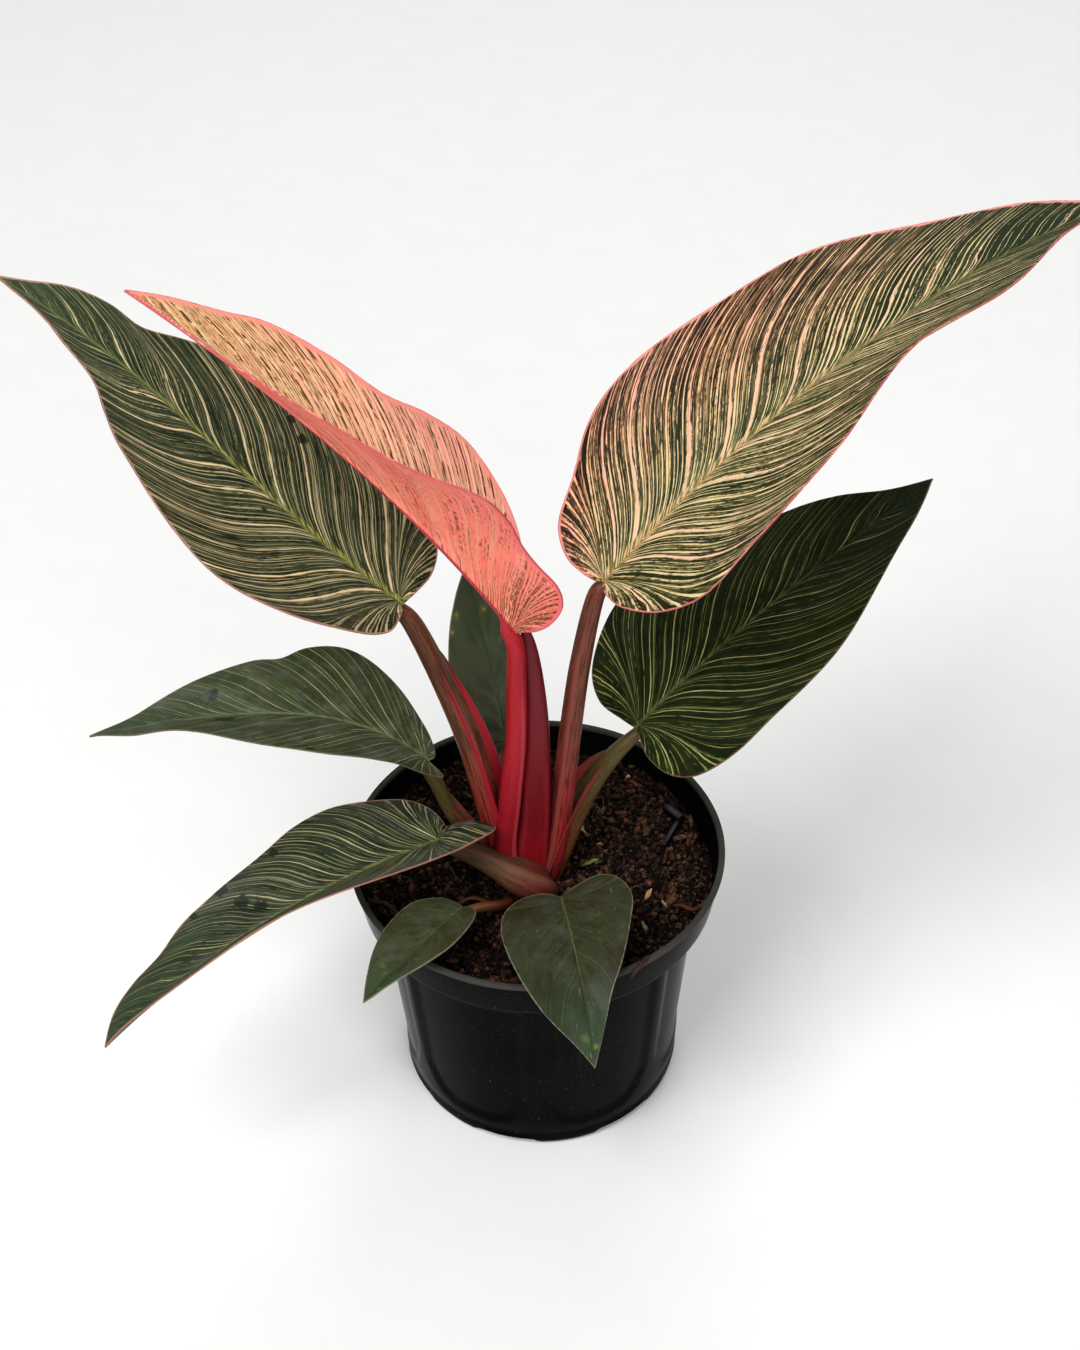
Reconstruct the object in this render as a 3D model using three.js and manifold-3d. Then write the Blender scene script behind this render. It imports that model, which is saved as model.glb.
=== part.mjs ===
// A philodendron with striped and pink leaves, growing in a round black nursery pot.
// Millimetres, +Z up. The origin is on the pot's axis, on the surface that the pot stands on.
// -Y is the front, where the two small leaves hang over the rim.

import * as THREE from "three";
import { mergeVertices } from "three/addons/utils/BufferGeometryUtils.js";
import Module from "manifold-3d";

const wasm = await Module();
wasm.setup();

const GAP = 0.3; // between pieces that touch
const BLADE_THICKNESS = 0.8;
const RIB_DEPTH = 1.5; // how far the midrib stands out below a large blade
const VEIN_SLANT = 0.45; // how far a vein runs towards the tip for each step out to the edge
const VEIN_BOW = 0.12; // sag of a vein, as a share of its chord
const WAVE_FADE = 8; // the edge's waves grow from nothing over 1/8 of the edge, at the notch and at the tip
const NOTCH = 1.5; // how far the notch between the two lobes is behind the junction
const UPRIGHT = 65; // slope from which a blade stands on its petiole, in degrees

const POT = {
  rimRadius: 65,
  height: 102,
  bandFoot: 86, // height of the step under the smooth rim band
  bandRadius: 62.1,
  bodyRadius: 57, // just under the band
  footRadius: 49.5,
  wall: 1.3,
  base: 4, // height of the inside floor
  segments: 42,
};
const FEET = { count: 7, notchWidth: 22, notchHeight: 2, firstNotch: 254 }; // degrees from +X
const DRAIN_HOLES = { count: 7, radius: 4.5, circle: 33 };
const SOIL = { top: 90.4, lumps: 1.3, fall: 0.012, rings: 8, spokes: 28 };
const CROWN = { x: -3, y: -1, radius: 9, top: 96, foot: 76 };

// Each leaf is a rib that starts at the junction with its petiole and runs `length` along the compass
// `heading` (degrees from +X) while its slope changes through the `rise` values. To each side the blade
// leans up from the rib by the `raise` values. `edge` holds [along the rib, out from the rib] points from
// the notch behind the junction to the tip. The petiole is [x, y, z, width] points from the crown.
const LEAVES = [
  {
    name: "large_right",
    junction: [23, 7, 212],
    heading: 22,
    rise: [44, 29, 10],
    length: 200,
    waves: { count: 3.5, height: 1.6, phase: 20 },
    left: {
      raise: [20, 18, 21],
      edge: [[-3.5, 7], [-3.5, 16], [2, 26], [14, 34], [30, 44], [50, 47], [78, 46], [105, 41], [130, 32],
        [155, 22], [180, 10]],
    },
    right: {
      raise: [3, 23, 22],
      edge: [[-2, 6], [0, 16], [8, 29], [22, 40], [40, 47], [58, 50], [77, 45], [97, 36.5], [117, 30],
        [134, 29], [151, 23], [170, 14], [185, 7]],
    },
    petiole: [[1, -2, 84, 9], [6, -1.5, 101, 9], [9.5, 0.5, 129, 8.6], [12, 2.5, 152, 8],
      [15.5, 4.5, 180, 7.4], [20.5, 6.3, 206, 6.2], [23.5, 7.2, 213, 5]],
    colour: 0x5f6b3f,
    petioleColour: 0x8a3d33,
  },
  {
    name: "large_left",
    junction: [-42, 14, 200],
    heading: 160,
    rise: [34, 42, 27],
    length: 160,
    waves: { count: 3, height: 1.8, phase: 200 },
    left: {
      raise: [9, 0, 16],
      edge: [[-3, 7], [-2, 16], [8, 28], [22, 37], [40, 40], [60, 40], [80, 37], [97, 29], [108, 20],
        [117, 13], [132, 10.5], [148, 4]],
    },
    right: {
      raise: [9, 6, 18],
      edge: [[-3, 7], [-4, 18], [0, 28], [12, 37], [30, 41], [50, 41], [72, 38], [92, 31], [106, 24],
        [117, 17], [128, 15], [141, 10], [152, 4]],
    },
    petiole: [[-7, -1, 84, 10], [-11.5, -1, 102, 10.4], [-15, 0.5, 119, 10.4], [-21.5, 5, 147, 9.6],
      [-29.5, 9, 170, 8], [-38, 12.6, 191, 7], [-41.6, 13.9, 199.2, 5.6]],
    colour: 0x2f3f2a,
    petioleColour: 0x7a4a33,
  },
  {
    name: "newest",
    junction: [-5, 2, 198],
    heading: 172,
    rise: [57, 46, 37],
    length: 160,
    waves: { count: 2, height: 1, phase: 0 },
    left: {
      raise: [68, 65, 46, 37, 44],
      edge: [[-2, 5], [1, 13], [9, 25], [20, 31], [30, 32], [42, 38], [56, 42], [70, 36], [85, 29],
        [100, 26], [120, 21], [140, 12]],
    },
    right: {
      raise: [14, 14, 14],
      edge: [[-3, 6], [-4, 16], [4, 26], [18, 32], [30, 38], [46, 41], [62, 37], [79, 29], [100, 26],
        [120, 22], [132, 16], [146, 9]],
    },
    petiole: [[-5, -5, 84, 8.5], [-11, -4.5, 105, 8.5], [-8.5, -3, 130, 8.2], [-6, -1, 152, 8],
      [-5.3, 0.5, 172, 7.4], [-5.2, 1.5, 190, 6.6], [-5.4, 2.1, 199, 5.6]],
    colour: 0xe08070,
    petioleColour: 0xc3243a,
  },
  {
    name: "lower_right",
    junction: [35, 12, 146],
    heading: 24,
    rise: [41, 30, 28],
    length: 128,
    waves: { count: 2.5, height: 1.2, phase: 90 },
    left: {
      raise: [12, 5, 8],
      edge: [[-3, 6], [-5, 17], [-1, 28], [10, 37], [24, 42], [42, 41], [64, 35], [84, 27], [100, 18],
        [114, 8]],
    },
    right: {
      raise: [13, 3, 7],
      edge: [[-2, 7], [-3, 18], [0, 31], [8, 41], [22, 45], [38, 42], [56, 37], [74, 31], [92, 23],
        [108, 14], [120, 6]],
    },
    petiole: [[3, 0, 84, 8.4], [8.5, 0.8, 101, 9], [14, 4.4, 115, 9], [20, 7.4, 126, 8], [28, 10, 136, 6],
      [35, 12.2, 145.6, 4.6]],
    colour: 0x2c3a28,
    petioleColour: 0x6e5a30,
  },
  {
    name: "middle_left",
    junction: [-36, 0, 144],
    heading: 180,
    rise: [48, 0, -13],
    length: 117,
    waves: { count: 2.5, height: 1.4, phase: 150 },
    left: {
      raise: [10, 20, 22],
      edge: [[-8, 3], [-3, 6], [9, 12], [23, 22], [36, 27], [50, 24], [65, 20], [78, 15], [92, 8],
        [105, 3]],
    },
    right: {
      raise: [15, 18, 18],
      edge: [[-3, 4], [2, 11], [10, 17], [20, 22], [34, 27], [46, 26], [54, 22], [63, 21], [78, 15],
        [90, 10], [105, 4]],
    },
    petiole: [[-7, 1, 86, 6.6], [-17, 0.5, 97.5, 6.6], [-24.5, 1.4, 108.5, 6.2], [-30, 1.4, 121, 5.6],
      [-34, 0.6, 134, 5.2], [-36.1, 0, 143.6, 4.6]],
    colour: 0x46503f,
    petioleColour: 0x6a5a33,
  },
  {
    name: "lower_left",
    junction: [-33, -6, 112],
    heading: 205,
    rise: [0, -18, -38],
    length: 134,
    waves: { count: 2, height: 1, phase: 60 },
    left: {
      raise: [36, 40, 44, 48, 52],
      edge: [[-9, 3.2], [-16, 9], [-14, 18], [-2, 22], [14, 26], [30, 28], [44, 27], [60, 22], [78, 18],
        [95, 14], [112, 9], [125, 4]],
    },
    right: {
      raise: [12, 14, 12],
      edge: [[-4, 4], [-2, 12], [4, 19], [14, 24], [28, 28], [42, 27], [58, 22], [76, 19], [90, 17],
        [102, 13], [114, 11], [125, 7]],
    },
    petiole: [[1, -6, 84, 11], [0, -12.5, 95, 12], [-6, -13, 100.5, 11.5], [-14, -10.5, 104, 9],
      [-23, -8, 107.5, 7.5], [-33, -6, 111.8, 5.5]],
    colour: 0x3e4c38,
    petioleColour: 0x7a5a3a,
  },
  {
    name: "small_left",
    junction: [-26, -29, 102],
    heading: 235,
    rise: [10, 3, 2],
    length: 53,
    waves: { count: 1.5, height: 0.5, phase: 0 },
    left: { raise: [18, 26, 18], edge: [[-2, 3], [2, 8], [10, 11], [21, 12], [32, 9], [43, 4]] },
    right: { raise: [10, 14, 12], edge: [[-1, 3], [2, 8], [11, 13], [24, 13], [35, 10], [45, 5]] },
    petiole: [[-8, -11, 86, 3.6], [-13, -21, 94.5, 3.6], [-20, -26.5, 99.5, 3.4], [-26, -29, 102, 3]],
    colour: 0x45523d,
    petioleColour: 0x6a6038,
  },
  {
    name: "small_front",
    junction: [8, -27.6, 104],
    heading: 279,
    rise: [7, -10, -60],
    length: 65,
    waves: { count: 1.5, height: 0.7, phase: 120 },
    left: { raise: [15, 15, 10], edge: [[-4, 6], [-6, 14], [-2, 20], [8, 23], [20, 20], [32, 15], [44, 8]] },
    right: {
      raise: [15, 15, 10],
      edge: [[-2, 6], [1, 14], [8, 21], [19, 24], [32, 22], [44, 16], [56, 6]],
    },
    petiole: [[1, -20, 84, 3.6], [2, -21.8, 94, 3.6], [4.6, -24.8, 101, 3.4], [7.6, -27.4, 103.9, 2.8]],
    colour: 0x4a5540,
    petioleColour: 0x7a3d33,
  },
  {
    name: "small_rear",
    junction: [-10, 24, 129],
    heading: 125,
    rise: [80, 70, 72],
    length: 67,
    waves: { count: 1.5, height: 0.6, phase: 40 },
    left: { raise: [12, 12, 12], edge: [[-3, 5], [-4, 12], [5, 17], [18, 19], [34, 18], [48, 14], [58, 8]] },
    right: { raise: [-12, -15, -8], edge: [[-3, 4], [-3, 9], [5, 13], [18, 14], [34, 13], [48, 10], [58, 6]] },
    petiole: [[-6, 1, 84, 4.4], [-10.5, 7.5, 101, 4.4], [-11.3, 14, 113, 4.2], [-10.6, 20.5, 122, 3.8],
      [-10, 24.2, 129.5, 3.2]],
    colour: 0x2f3a2c,
    petioleColour: 0x5f5a35,
  },
];

// The thin pointed sheath that the newest leaf came out of, standing close behind its petiole.
const SHEATH = [[-2, -2, 84, 10], [-2.5, -3, 104, 11], [-0.5, -1.5, 120, 11.4], [1.2, 1, 148, 10.4],
  [1.8, 3.5, 167, 8], [0.8, 5.5, 185, 4.4], [-0.5, 6.5, 194, 1.2]];

// A small drip peg lies on the soil at the back right: a shiny bar with a thin stick from its near end.
const PEG = { bar: [8.6, 3.6, 3], turn: -53, stick: [15, 1.9, 1.7], stickTurn: -116, place: [49.2, 25.2, 91.1] };

const UP = new THREE.Vector3(0, 0, 1);
const rad = THREE.MathUtils.degToRad;

// Smooth value through evenly spaced stations, for t from 0 to 1.
function along(stations, t) {
  const last = stations.length - 1;
  const place = THREE.MathUtils.clamp(t, 0, 1) * last;
  const i = Math.min(Math.floor(place), last - 1);
  const f = place - i;
  const b = stations[i];
  const c = stations[i + 1];
  const a = i > 0 ? stations[i - 1] : 2 * b - c;
  const d = i + 2 <= last ? stations[i + 2] : 2 * c - b;
  return b + 0.5 * f * (c - a + f * (2 * a - 5 * b + 4 * c - d + f * (3 * (b - c) + d - a)));
}

// The rib as a run of short steps, with the frame of the blade at any distance along it.
function ribOf(leaf) {
  const steps = 96;
  const course = rad(leaf.heading);
  const direction = (t) => {
    const slope = rad(along(leaf.rise, t));
    return new THREE.Vector3(
      Math.cos(slope) * Math.cos(course),
      Math.cos(slope) * Math.sin(course),
      Math.sin(slope),
    );
  };
  const points = [new THREE.Vector3(...leaf.junction)];
  for (let i = 0; i < steps; i++) {
    const step = direction((i + 0.5) / steps).multiplyScalar(leaf.length / steps);
    points.push(points[i].clone().add(step));
  }
  const side = new THREE.Vector3(-Math.sin(course), Math.cos(course), 0);
  return (x) => {
    const t = THREE.MathUtils.clamp(x / leaf.length, 0, 1);
    const forward = direction(t);
    const i = Math.min(Math.floor(t * steps), steps - 1);
    const origin = points[i].clone().lerp(points[i + 1], t * steps - i);
    const beyond = Math.min(x, 0) + Math.max(x - leaf.length, 0);
    origin.addScaledVector(forward, beyond);
    return { origin, forward, side, up: new THREE.Vector3().crossVectors(forward, side), t };
  };
}

// Point of the blade at x along the rib and y out from it, lifted off the sheet by `lift`.
function bladePoint(rib, raise, hand, x, y, lift) {
  const { origin, side, up, t } = rib(x);
  const lean = rad(along(raise, t));
  return origin
    .addScaledVector(side, hand * (y * Math.cos(lean) - lift * Math.sin(lean)))
    .addScaledVector(up, y * Math.sin(lean) + lift * Math.cos(lean));
}

// The veins of one half: each runs from a start on the rib to an end on the edge.
function veinsOf(leaf, half, lobeVeins, ribVeins) {
  const outline = [[-NOTCH, 0], ...half.edge, [leaf.length, 0]].map((p) => new THREE.Vector2(...p));
  const samples = new THREE.SplineCurve(outline).getPoints(outline.length * 24);
  const reached = [0];
  for (let i = 1; i < samples.length; i++)
    reached.push(reached[i - 1] + samples[i].distanceTo(samples[i - 1]));
  const startOf = (p) => p.x - VEIN_SLANT * p.y;
  const edgeAt = (distance) => {
    let i = reached.findIndex((r) => r >= distance);
    i = Math.max(1, i < 0 ? samples.length - 1 : i);
    const f = (distance - reached[i - 1]) / (reached[i] - reached[i - 1]);
    return samples[i - 1].clone().lerp(samples[i], f);
  };
  // distance round the edge to the last vein that starts at x on the rib
  const distanceFor = (x) => {
    let i = samples.length - 1;
    while (i > 0 && startOf(samples[i - 1]) > x) i--;
    if (i === 0) return 0;
    const low = startOf(samples[i - 1]);
    const f = (x - low) / (startOf(samples[i]) - low);
    return reached[i - 1] + THREE.MathUtils.clamp(f, 0, 1) * (reached[i] - reached[i - 1]);
  };
  const whole = reached[reached.length - 1];
  const lobe = distanceFor(0);
  const veins = [];
  for (let i = 0; i < lobeVeins; i++) {
    const distance = (lobe * i) / lobeVeins;
    veins.push({ start: 0, end: edgeAt(distance), bow: (VEIN_BOW * i) / lobeVeins, share: distance / whole });
  }
  for (let i = 0; i <= ribVeins; i++) {
    const start = (leaf.length * i) / ribVeins;
    const distance = i === ribVeins ? whole : distanceFor(start);
    veins.push({ start, end: edgeAt(distance), bow: VEIN_BOW, share: distance / whole });
  }
  return veins;
}

// One face of the blade as points and triangles, the same split for both of its faces.
function bladeSheet(leaf) {
  const rib = ribOf(leaf);
  const large = leaf.length > 100;
  const rows = large ? 4 : 3;
  const points = [];
  const faces = [];
  const waves = leaf.waves;
  for (const [half, hand] of [[leaf.left, 1], [leaf.right, -1]]) {
    const veins = veinsOf(leaf, half, large ? 6 : 4, large ? 14 : 8);
    const first = points.length;
    veins.forEach(({ start, end, bow, share }) => {
      const calm = Math.min(1, WAVE_FADE * share, WAVE_FADE * (1 - share));
      const swing = calm * Math.sin(2 * Math.PI * waves.count * share + rad(waves.phase));
      for (let j = 0; j <= rows; j++) {
        const v = j / rows;
        const bend = 2 * v * (1 - v) * bow;
        const x = start + (end.x - start) * v - bend * end.y;
        const y = end.y * v + bend * (end.x - start);
        points.push(bladePoint(rib, half.raise, hand, x, y, waves.height * swing * v * v));
      }
    });
    for (let i = 0; i + 1 < veins.length; i++)
      for (let j = 0; j < rows; j++) {
        const a = first + i * (rows + 1) + j;
        const b = a + rows + 1;
        const corners = [[a, b, b + 1], [a, b + 1, a + 1]];
        faces.push(...(hand > 0 ? corners : corners.map((c) => c.reverse())));
      }
  }
  const ribPoints = new Set();
  points.forEach((p, i) => i % (rows + 1) === 0 && ribPoints.add(i));
  return { points, faces, ribPoints };
}

// Joins points that lie in one place, and drops the triangles that closes up.
function weld(points, faces) {
  const places = new Map();
  const kept = [];
  const seat = points.map((p) => {
    const key = p.toArray().map((n) => Math.round(n * 500)).join();
    if (!places.has(key)) places.set(key, kept.push(p) - 1);
    return places.get(key);
  });
  const triangles = faces
    .map((f) => f.map((i) => seat[i]))
    .filter(([a, b, c]) => a !== b && b !== c && c !== a);
  return { kept, triangles, seat };
}

function solidFrom(points, triangles) {
  const mesh = new wasm.Mesh({
    numProp: 3,
    vertProperties: new Float32Array(points.flatMap((p) => p.toArray())),
    triVerts: new Uint32Array(triangles.flat()),
  });
  return new wasm.Manifold(mesh);
}

// How far the midrib stands out below the blade where the petiole meets it.
function ribDepth(leaf) {
  return RIB_DEPTH * Math.min(1, leaf.length / 120);
}

// A closed blade with its midrib standing out below.
function bladeSolid(leaf) {
  const { points, faces, ribPoints } = bladeSheet(leaf);
  const { kept, triangles, seat } = weld(points, faces);
  const normals = kept.map(() => new THREE.Vector3());
  for (const [a, b, c] of triangles) {
    const u = kept[b].clone().sub(kept[a]);
    const w = kept[c].clone().sub(kept[a]);
    const n = u.cross(w);
    for (const i of [a, b, c]) normals[i].add(n);
  }
  const onRib = new Set([...ribPoints].map((i) => seat[i]));
  const tip = new THREE.Vector3(...kept[seat[points.length - 1]].toArray());
  const junction = new THREE.Vector3(...leaf.junction);
  const top = [];
  const under = [];
  kept.forEach((p, i) => {
    const n = normals[i].normalize();
    const left = Math.min(1, p.distanceTo(tip) / junction.distanceTo(tip));
    const keel = onRib.has(i) ? ribDepth(leaf) * left : 0;
    top.push(p.clone().addScaledVector(n, BLADE_THICKNESS / 2));
    under.push(p.clone().addScaledVector(n, -BLADE_THICKNESS / 2 - keel));
  });
  const n = kept.length;
  const shell = triangles.concat(triangles.map(([a, b, c]) => [n + a, n + c, n + b]));
  const edges = new Set(triangles.flatMap(([a, b, c]) => [`${a},${b}`, `${b},${c}`, `${c},${a}`]));
  for (const edge of edges) {
    const [a, b] = edge.split(",").map(Number);
    if (edges.has(`${b},${a}`)) continue;
    shell.push([a, n + a, n + b], [a, n + b, b]);
  }
  return solidFrom(top.concat(under), shell);
}

// A stalk through [x, y, z, width] stations. `groove` is how deep the channel on its upper side is at
// the crown, as a share of its thickness; it runs out by two thirds of the way up.
function stalkSolid(stations, heading, { flat = 1, groove = 0, grow = 0 } = {}) {
  const lists = [0, 1, 2, 3].map((k) => stations.map((s) => s[k]));
  const at = (t) => new THREE.Vector3(...lists.slice(0, 3).map((list) => along(list, t)));
  const sides = 10;
  const rings = 2 * (stations.length - 1) + 1;
  const side = new THREE.Vector3(-Math.sin(rad(heading)), Math.cos(rad(heading)), 0);
  const points = [];
  const faces = [];
  for (let i = 0; i < rings; i++) {
    const t = i / (rings - 1);
    const forward = at(Math.min(1, t + 0.01)).sub(at(Math.max(0, t - 0.01))).normalize();
    const up = new THREE.Vector3().crossVectors(forward, side).normalize();
    const across = new THREE.Vector3().crossVectors(up, forward);
    const half = along(lists[3], t) / 2 + grow;
    const channel = groove * THREE.MathUtils.clamp(1.5 - 2.2 * t, 0, 1);
    for (let k = 0; k < sides; k++) {
      const angle = (2 * Math.PI * k) / sides;
      const dip = Math.max(0, Math.sin(angle)) ** 3 * channel * 2;
      points.push(
        at(t)
          .addScaledVector(across, half * Math.cos(angle))
          .addScaledVector(up, half * flat * (Math.sin(angle) - dip)),
      );
    }
  }
  for (let i = 0; i + 1 < rings; i++)
    for (let k = 0; k < sides; k++) {
      const a = i * sides + k;
      const b = i * sides + ((k + 1) % sides);
      faces.push([a, b, b + sides], [a, b + sides, a + sides]);
    }
  for (const [ring, turned] of [[0, true], [rings - 1, false]]) {
    const centre = points.push(at(ring ? 1 : 0)) - 1;
    for (let k = 0; k < sides; k++) {
      const a = ring * sides + k;
      const b = ring * sides + ((k + 1) % sides);
      faces.push(turned ? [centre, b, a] : [centre, a, b]);
    }
  }
  return solidFrom(points, faces);
}

function solidOf(geometry) {
  const bare = geometry.clone().deleteAttribute("normal").deleteAttribute("uv");
  const merged = mergeVertices(bare, 1e-4);
  const mesh = new wasm.Mesh({
    numProp: 3,
    vertProperties: merged.attributes.position.array,
    triVerts: new Uint32Array(merged.index.array),
  });
  return new wasm.Manifold(mesh);
}

function latheSolid(profile, segments, turn = 0) {
  const points = profile.map(([r, z]) => new THREE.Vector2(r, z));
  const geometry = new THREE.LatheGeometry(points, segments, turn).rotateX(Math.PI / 2);
  return solidOf(geometry);
}

function geometryOf(solid) {
  const mesh = solid.getMesh();
  const positions = new Float32Array(mesh.numVert * 3);
  for (let i = 0; i < mesh.numVert; i++)
    positions.set(mesh.vertProperties.subarray(i * mesh.numProp, i * mesh.numProp + 3), i * 3);
  const geometry = new THREE.BufferGeometry();
  geometry.setAttribute("position", new THREE.BufferAttribute(positions, 3));
  geometry.setIndex(new THREE.BufferAttribute(mesh.triVerts, 1));
  geometry.computeVertexNormals();
  return geometry;
}

// What is left of a solid once its neighbours are cut away, without loose crumbs.
function clearOf(solid, neighbours) {
  const rest = neighbours.reduce((left, other) => left.subtract(other), solid);
  return rest.decompose().reduce((big, piece) => (piece.volume() > big.volume() ? piece : big));
}

// The petiole cut off flat just under the midrib of its blade, or below the notch of an upright blade.
function underBlade(stalk, leaf) {
  const { origin, forward, up } = ribOf(leaf)(0);
  const upright = leaf.rise[0] > UPRIGHT;
  const normal = upright ? forward : up;
  const clear = upright ? 2 * NOTCH : BLADE_THICKNESS / 2 + ribDepth(leaf) + GAP;
  return stalk.trimByPlane(normal.clone().negate().toArray(), clear - normal.dot(origin));
}

// Thin moulded pot: foot ring and centre boss on the floor, tapered body, stepped band and lip.
function potSolid() {
  const { rimRadius, height, bandFoot, bandRadius, bodyRadius, footRadius, wall, base } = POT;
  const profile = [
    [0, 0],
    [12, 0],
    [13, 2.6],
    [footRadius - 5, 2.6],
    [footRadius - 4, 0],
    [footRadius - 1, 0],
    [footRadius + 0.6, 2],
    [footRadius + 1.3, 13],
    [bodyRadius, bandFoot - 1],
    [bandRadius - 0.4, bandFoot],
    [bandRadius, bandFoot + 1.2],
    [rimRadius - 0.9, height - 1.8],
    [rimRadius, height - 1.2],
    [rimRadius, height - 0.3],
    [rimRadius - 0.6, height],
    [rimRadius - 1.2 - wall / 2, height],
    [rimRadius - 1 - wall, height - 2],
    [bandRadius - wall, bandFoot + 2],
    [bodyRadius - wall, bandFoot - 0.6],
    [footRadius + 1.3 - wall, 14],
    [footRadius + 0.2 - wall, base],
    [0, base],
  ];
  let pot = latheSolid(profile, POT.segments);
  for (let i = 0; i < FEET.count; i++) {
    const notch = new THREE.BoxGeometry(12, FEET.notchWidth, 2 * FEET.notchHeight);
    notch.translate(footRadius, 0, 0).rotateZ(rad(FEET.firstNotch + (360 * i) / FEET.count));
    pot = pot.subtract(solidOf(notch));
  }
  for (let i = 0; i < DRAIN_HOLES.count; i++) {
    const hole = new THREE.CylinderGeometry(DRAIN_HOLES.radius, DRAIN_HOLES.radius, 12, 12);
    hole.rotateX(Math.PI / 2).translate(DRAIN_HOLES.circle, 0, base);
    hole.rotateZ((2 * Math.PI * i) / DRAIN_HOLES.count);
    pot = pot.subtract(solidOf(hole));
  }
  return pot;
}

// Height of the peat, lumpy but calmer at the wall, and a little lower at the back right.
function soilHeight(x, y) {
  const lumps =
    Math.sin(0.31 * x + 1.3) * Math.cos(0.27 * y) +
    0.7 * Math.sin(0.17 * x - 0.38 * y + 0.6) +
    0.5 * Math.cos(0.61 * x + 0.45 * y);
  const calm = 1 - 0.7 * (Math.hypot(x, y) / POT.bandRadius) ** 4;
  return SOIL.top + SOIL.lumps * lumps * calm - SOIL.fall * Math.max(0, x + y);
}

function soilSolid() {
  const { rings, spokes } = SOIL;
  const { bandFoot, bandRadius, bodyRadius, footRadius, wall, base } = POT;
  const inner = (r) => r - wall - GAP - 0.15;
  const wallPoints = [
    [inner(bandRadius + 0.2), null],
    [inner(bandRadius), bandFoot + 2.5],
    [inner(bodyRadius), bandFoot - 0.8],
    [inner(footRadius + 1.3), 14],
    [inner(footRadius + 0.2), base + GAP],
  ];
  const points = [];
  const faces = [];
  const ring = (radius, height) => {
    for (let k = 0; k < spokes; k++) {
      const angle = (2 * Math.PI * k) / spokes;
      const [x, y] = [radius * Math.cos(angle), radius * Math.sin(angle)];
      points.push(new THREE.Vector3(x, y, height ?? soilHeight(x, y)));
    }
  };
  points.push(new THREE.Vector3(0, 0, soilHeight(0, 0)));
  for (let i = 1; i < rings; i++) ring((wallPoints[0][0] * i) / rings, null);
  wallPoints.forEach(([radius, height]) => ring(radius, height));
  const count = rings - 1 + wallPoints.length;
  for (let k = 0; k < spokes; k++) faces.push([0, 1 + k, 1 + ((k + 1) % spokes)]);
  for (let i = 0; i + 1 < count; i++)
    for (let k = 0; k < spokes; k++) {
      const a = 1 + i * spokes + k;
      const b = 1 + i * spokes + ((k + 1) % spokes);
      faces.push([a, a + spokes, b + spokes], [a, b + spokes, b]);
    }
  const floor = points.push(new THREE.Vector3(0, 0, base + GAP)) - 1;
  for (let k = 0; k < spokes; k++) {
    const a = 1 + (count - 1) * spokes;
    faces.push([floor, a + ((k + 1) % spokes), a + k]);
  }
  return solidFrom(points, faces);
}

function crownSolid(grow = 0) {
  const { radius, top, foot } = CROWN;
  const profile = [
    [0, foot - grow],
    [0.7 * radius + grow, foot - grow],
    [radius + grow, foot + 6],
    [radius + grow, top - 8],
    [0.82 * radius + grow, top - 3.5 + grow],
    [0.45 * radius + grow, top + grow],
    [0, top + 1 + grow],
  ];
  return latheSolid(profile, 20).translate([CROWN.x, CROWN.y, 0]);
}

function pegSolid(grow = 0) {
  const [barLength, barWidth, barHeight] = PEG.bar.map((n) => n + 2 * grow);
  const [length, width, height] = PEG.stick.map((n) => n + 2 * grow);
  const bar = new THREE.BoxGeometry(barLength, barWidth, barHeight).rotateZ(rad(PEG.turn));
  const stick = new THREE.BoxGeometry(length, width, height).translate(PEG.stick[0] / 2, 0, -0.3);
  const joint = new THREE.Vector3(PEG.bar[0] / 2 - 1, 0, 0).applyAxisAngle(UP, rad(PEG.turn));
  stick.rotateZ(rad(PEG.stickTurn)).translate(...joint.toArray());
  return solidOf(bar).add(solidOf(stick)).translate(PEG.place);
}

const plant = new THREE.Group();
plant.name = "potted_philodendron";

function place(name, solid, colour, roughness) {
  const material = new THREE.MeshStandardMaterial({ color: colour, roughness, metalness: 0 });
  const mesh = new THREE.Mesh(geometryOf(solid), material);
  mesh.name = name;
  plant.add(mesh);
}

place("pot", potSolid(), 0x0d0d0e, 0.35);

const crown = crownSolid();
const crownRoom = crownSolid(GAP);
const stalks = [
  ...LEAVES.map((leaf) => ({
    name: `petiole_${leaf.name}`,
    stations: leaf.petiole,
    heading: leaf.heading,
    colour: leaf.petioleColour,
    shape: leaf.length > 100 ? { flat: 0.9, groove: 0.35 } : {},
    leaf,
  })),
  { name: "sheath_newest", stations: SHEATH, heading: 172, colour: 0x8f1a2c, shape: { flat: 0.5 } },
];
LEAVES.forEach((leaf) => place(`blade_${leaf.name}`, bladeSolid(leaf), leaf.colour, 0.4));

const stalkRoom = [];
for (const { name, stations, heading, colour, shape, leaf } of stalks) {
  const whole = stalkSolid(stations, heading, shape);
  const topped = leaf ? underBlade(whole, leaf) : whole;
  place(name, clearOf(topped, [crownRoom, ...stalkRoom]), colour, 0.45);
  stalkRoom.push(stalkSolid(stations, heading, { ...shape, groove: 0, grow: GAP }));
}

place("crown", crown, 0x5a2a24, 0.6);
place("soil", clearOf(soilSolid(), [crownRoom, ...stalkRoom, pegSolid(GAP)]), 0x2a1a12, 0.95);
place("drip_peg", pegSolid(), 0x3a3f45, 0.35);

export default plant;
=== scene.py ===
"""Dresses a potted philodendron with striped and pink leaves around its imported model.

Lengths are in millimetres until a piece is finished, and angles are in degrees.
"""

import logging
import math
import random
from collections.abc import Sequence
from dataclasses import dataclass, replace
from enum import Enum
from typing import NamedTuple, TypeVar

import bmesh
import bpy
from mathutils import Euler, Matrix, Vector, noise
from mathutils.kdtree import KDTree


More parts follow.
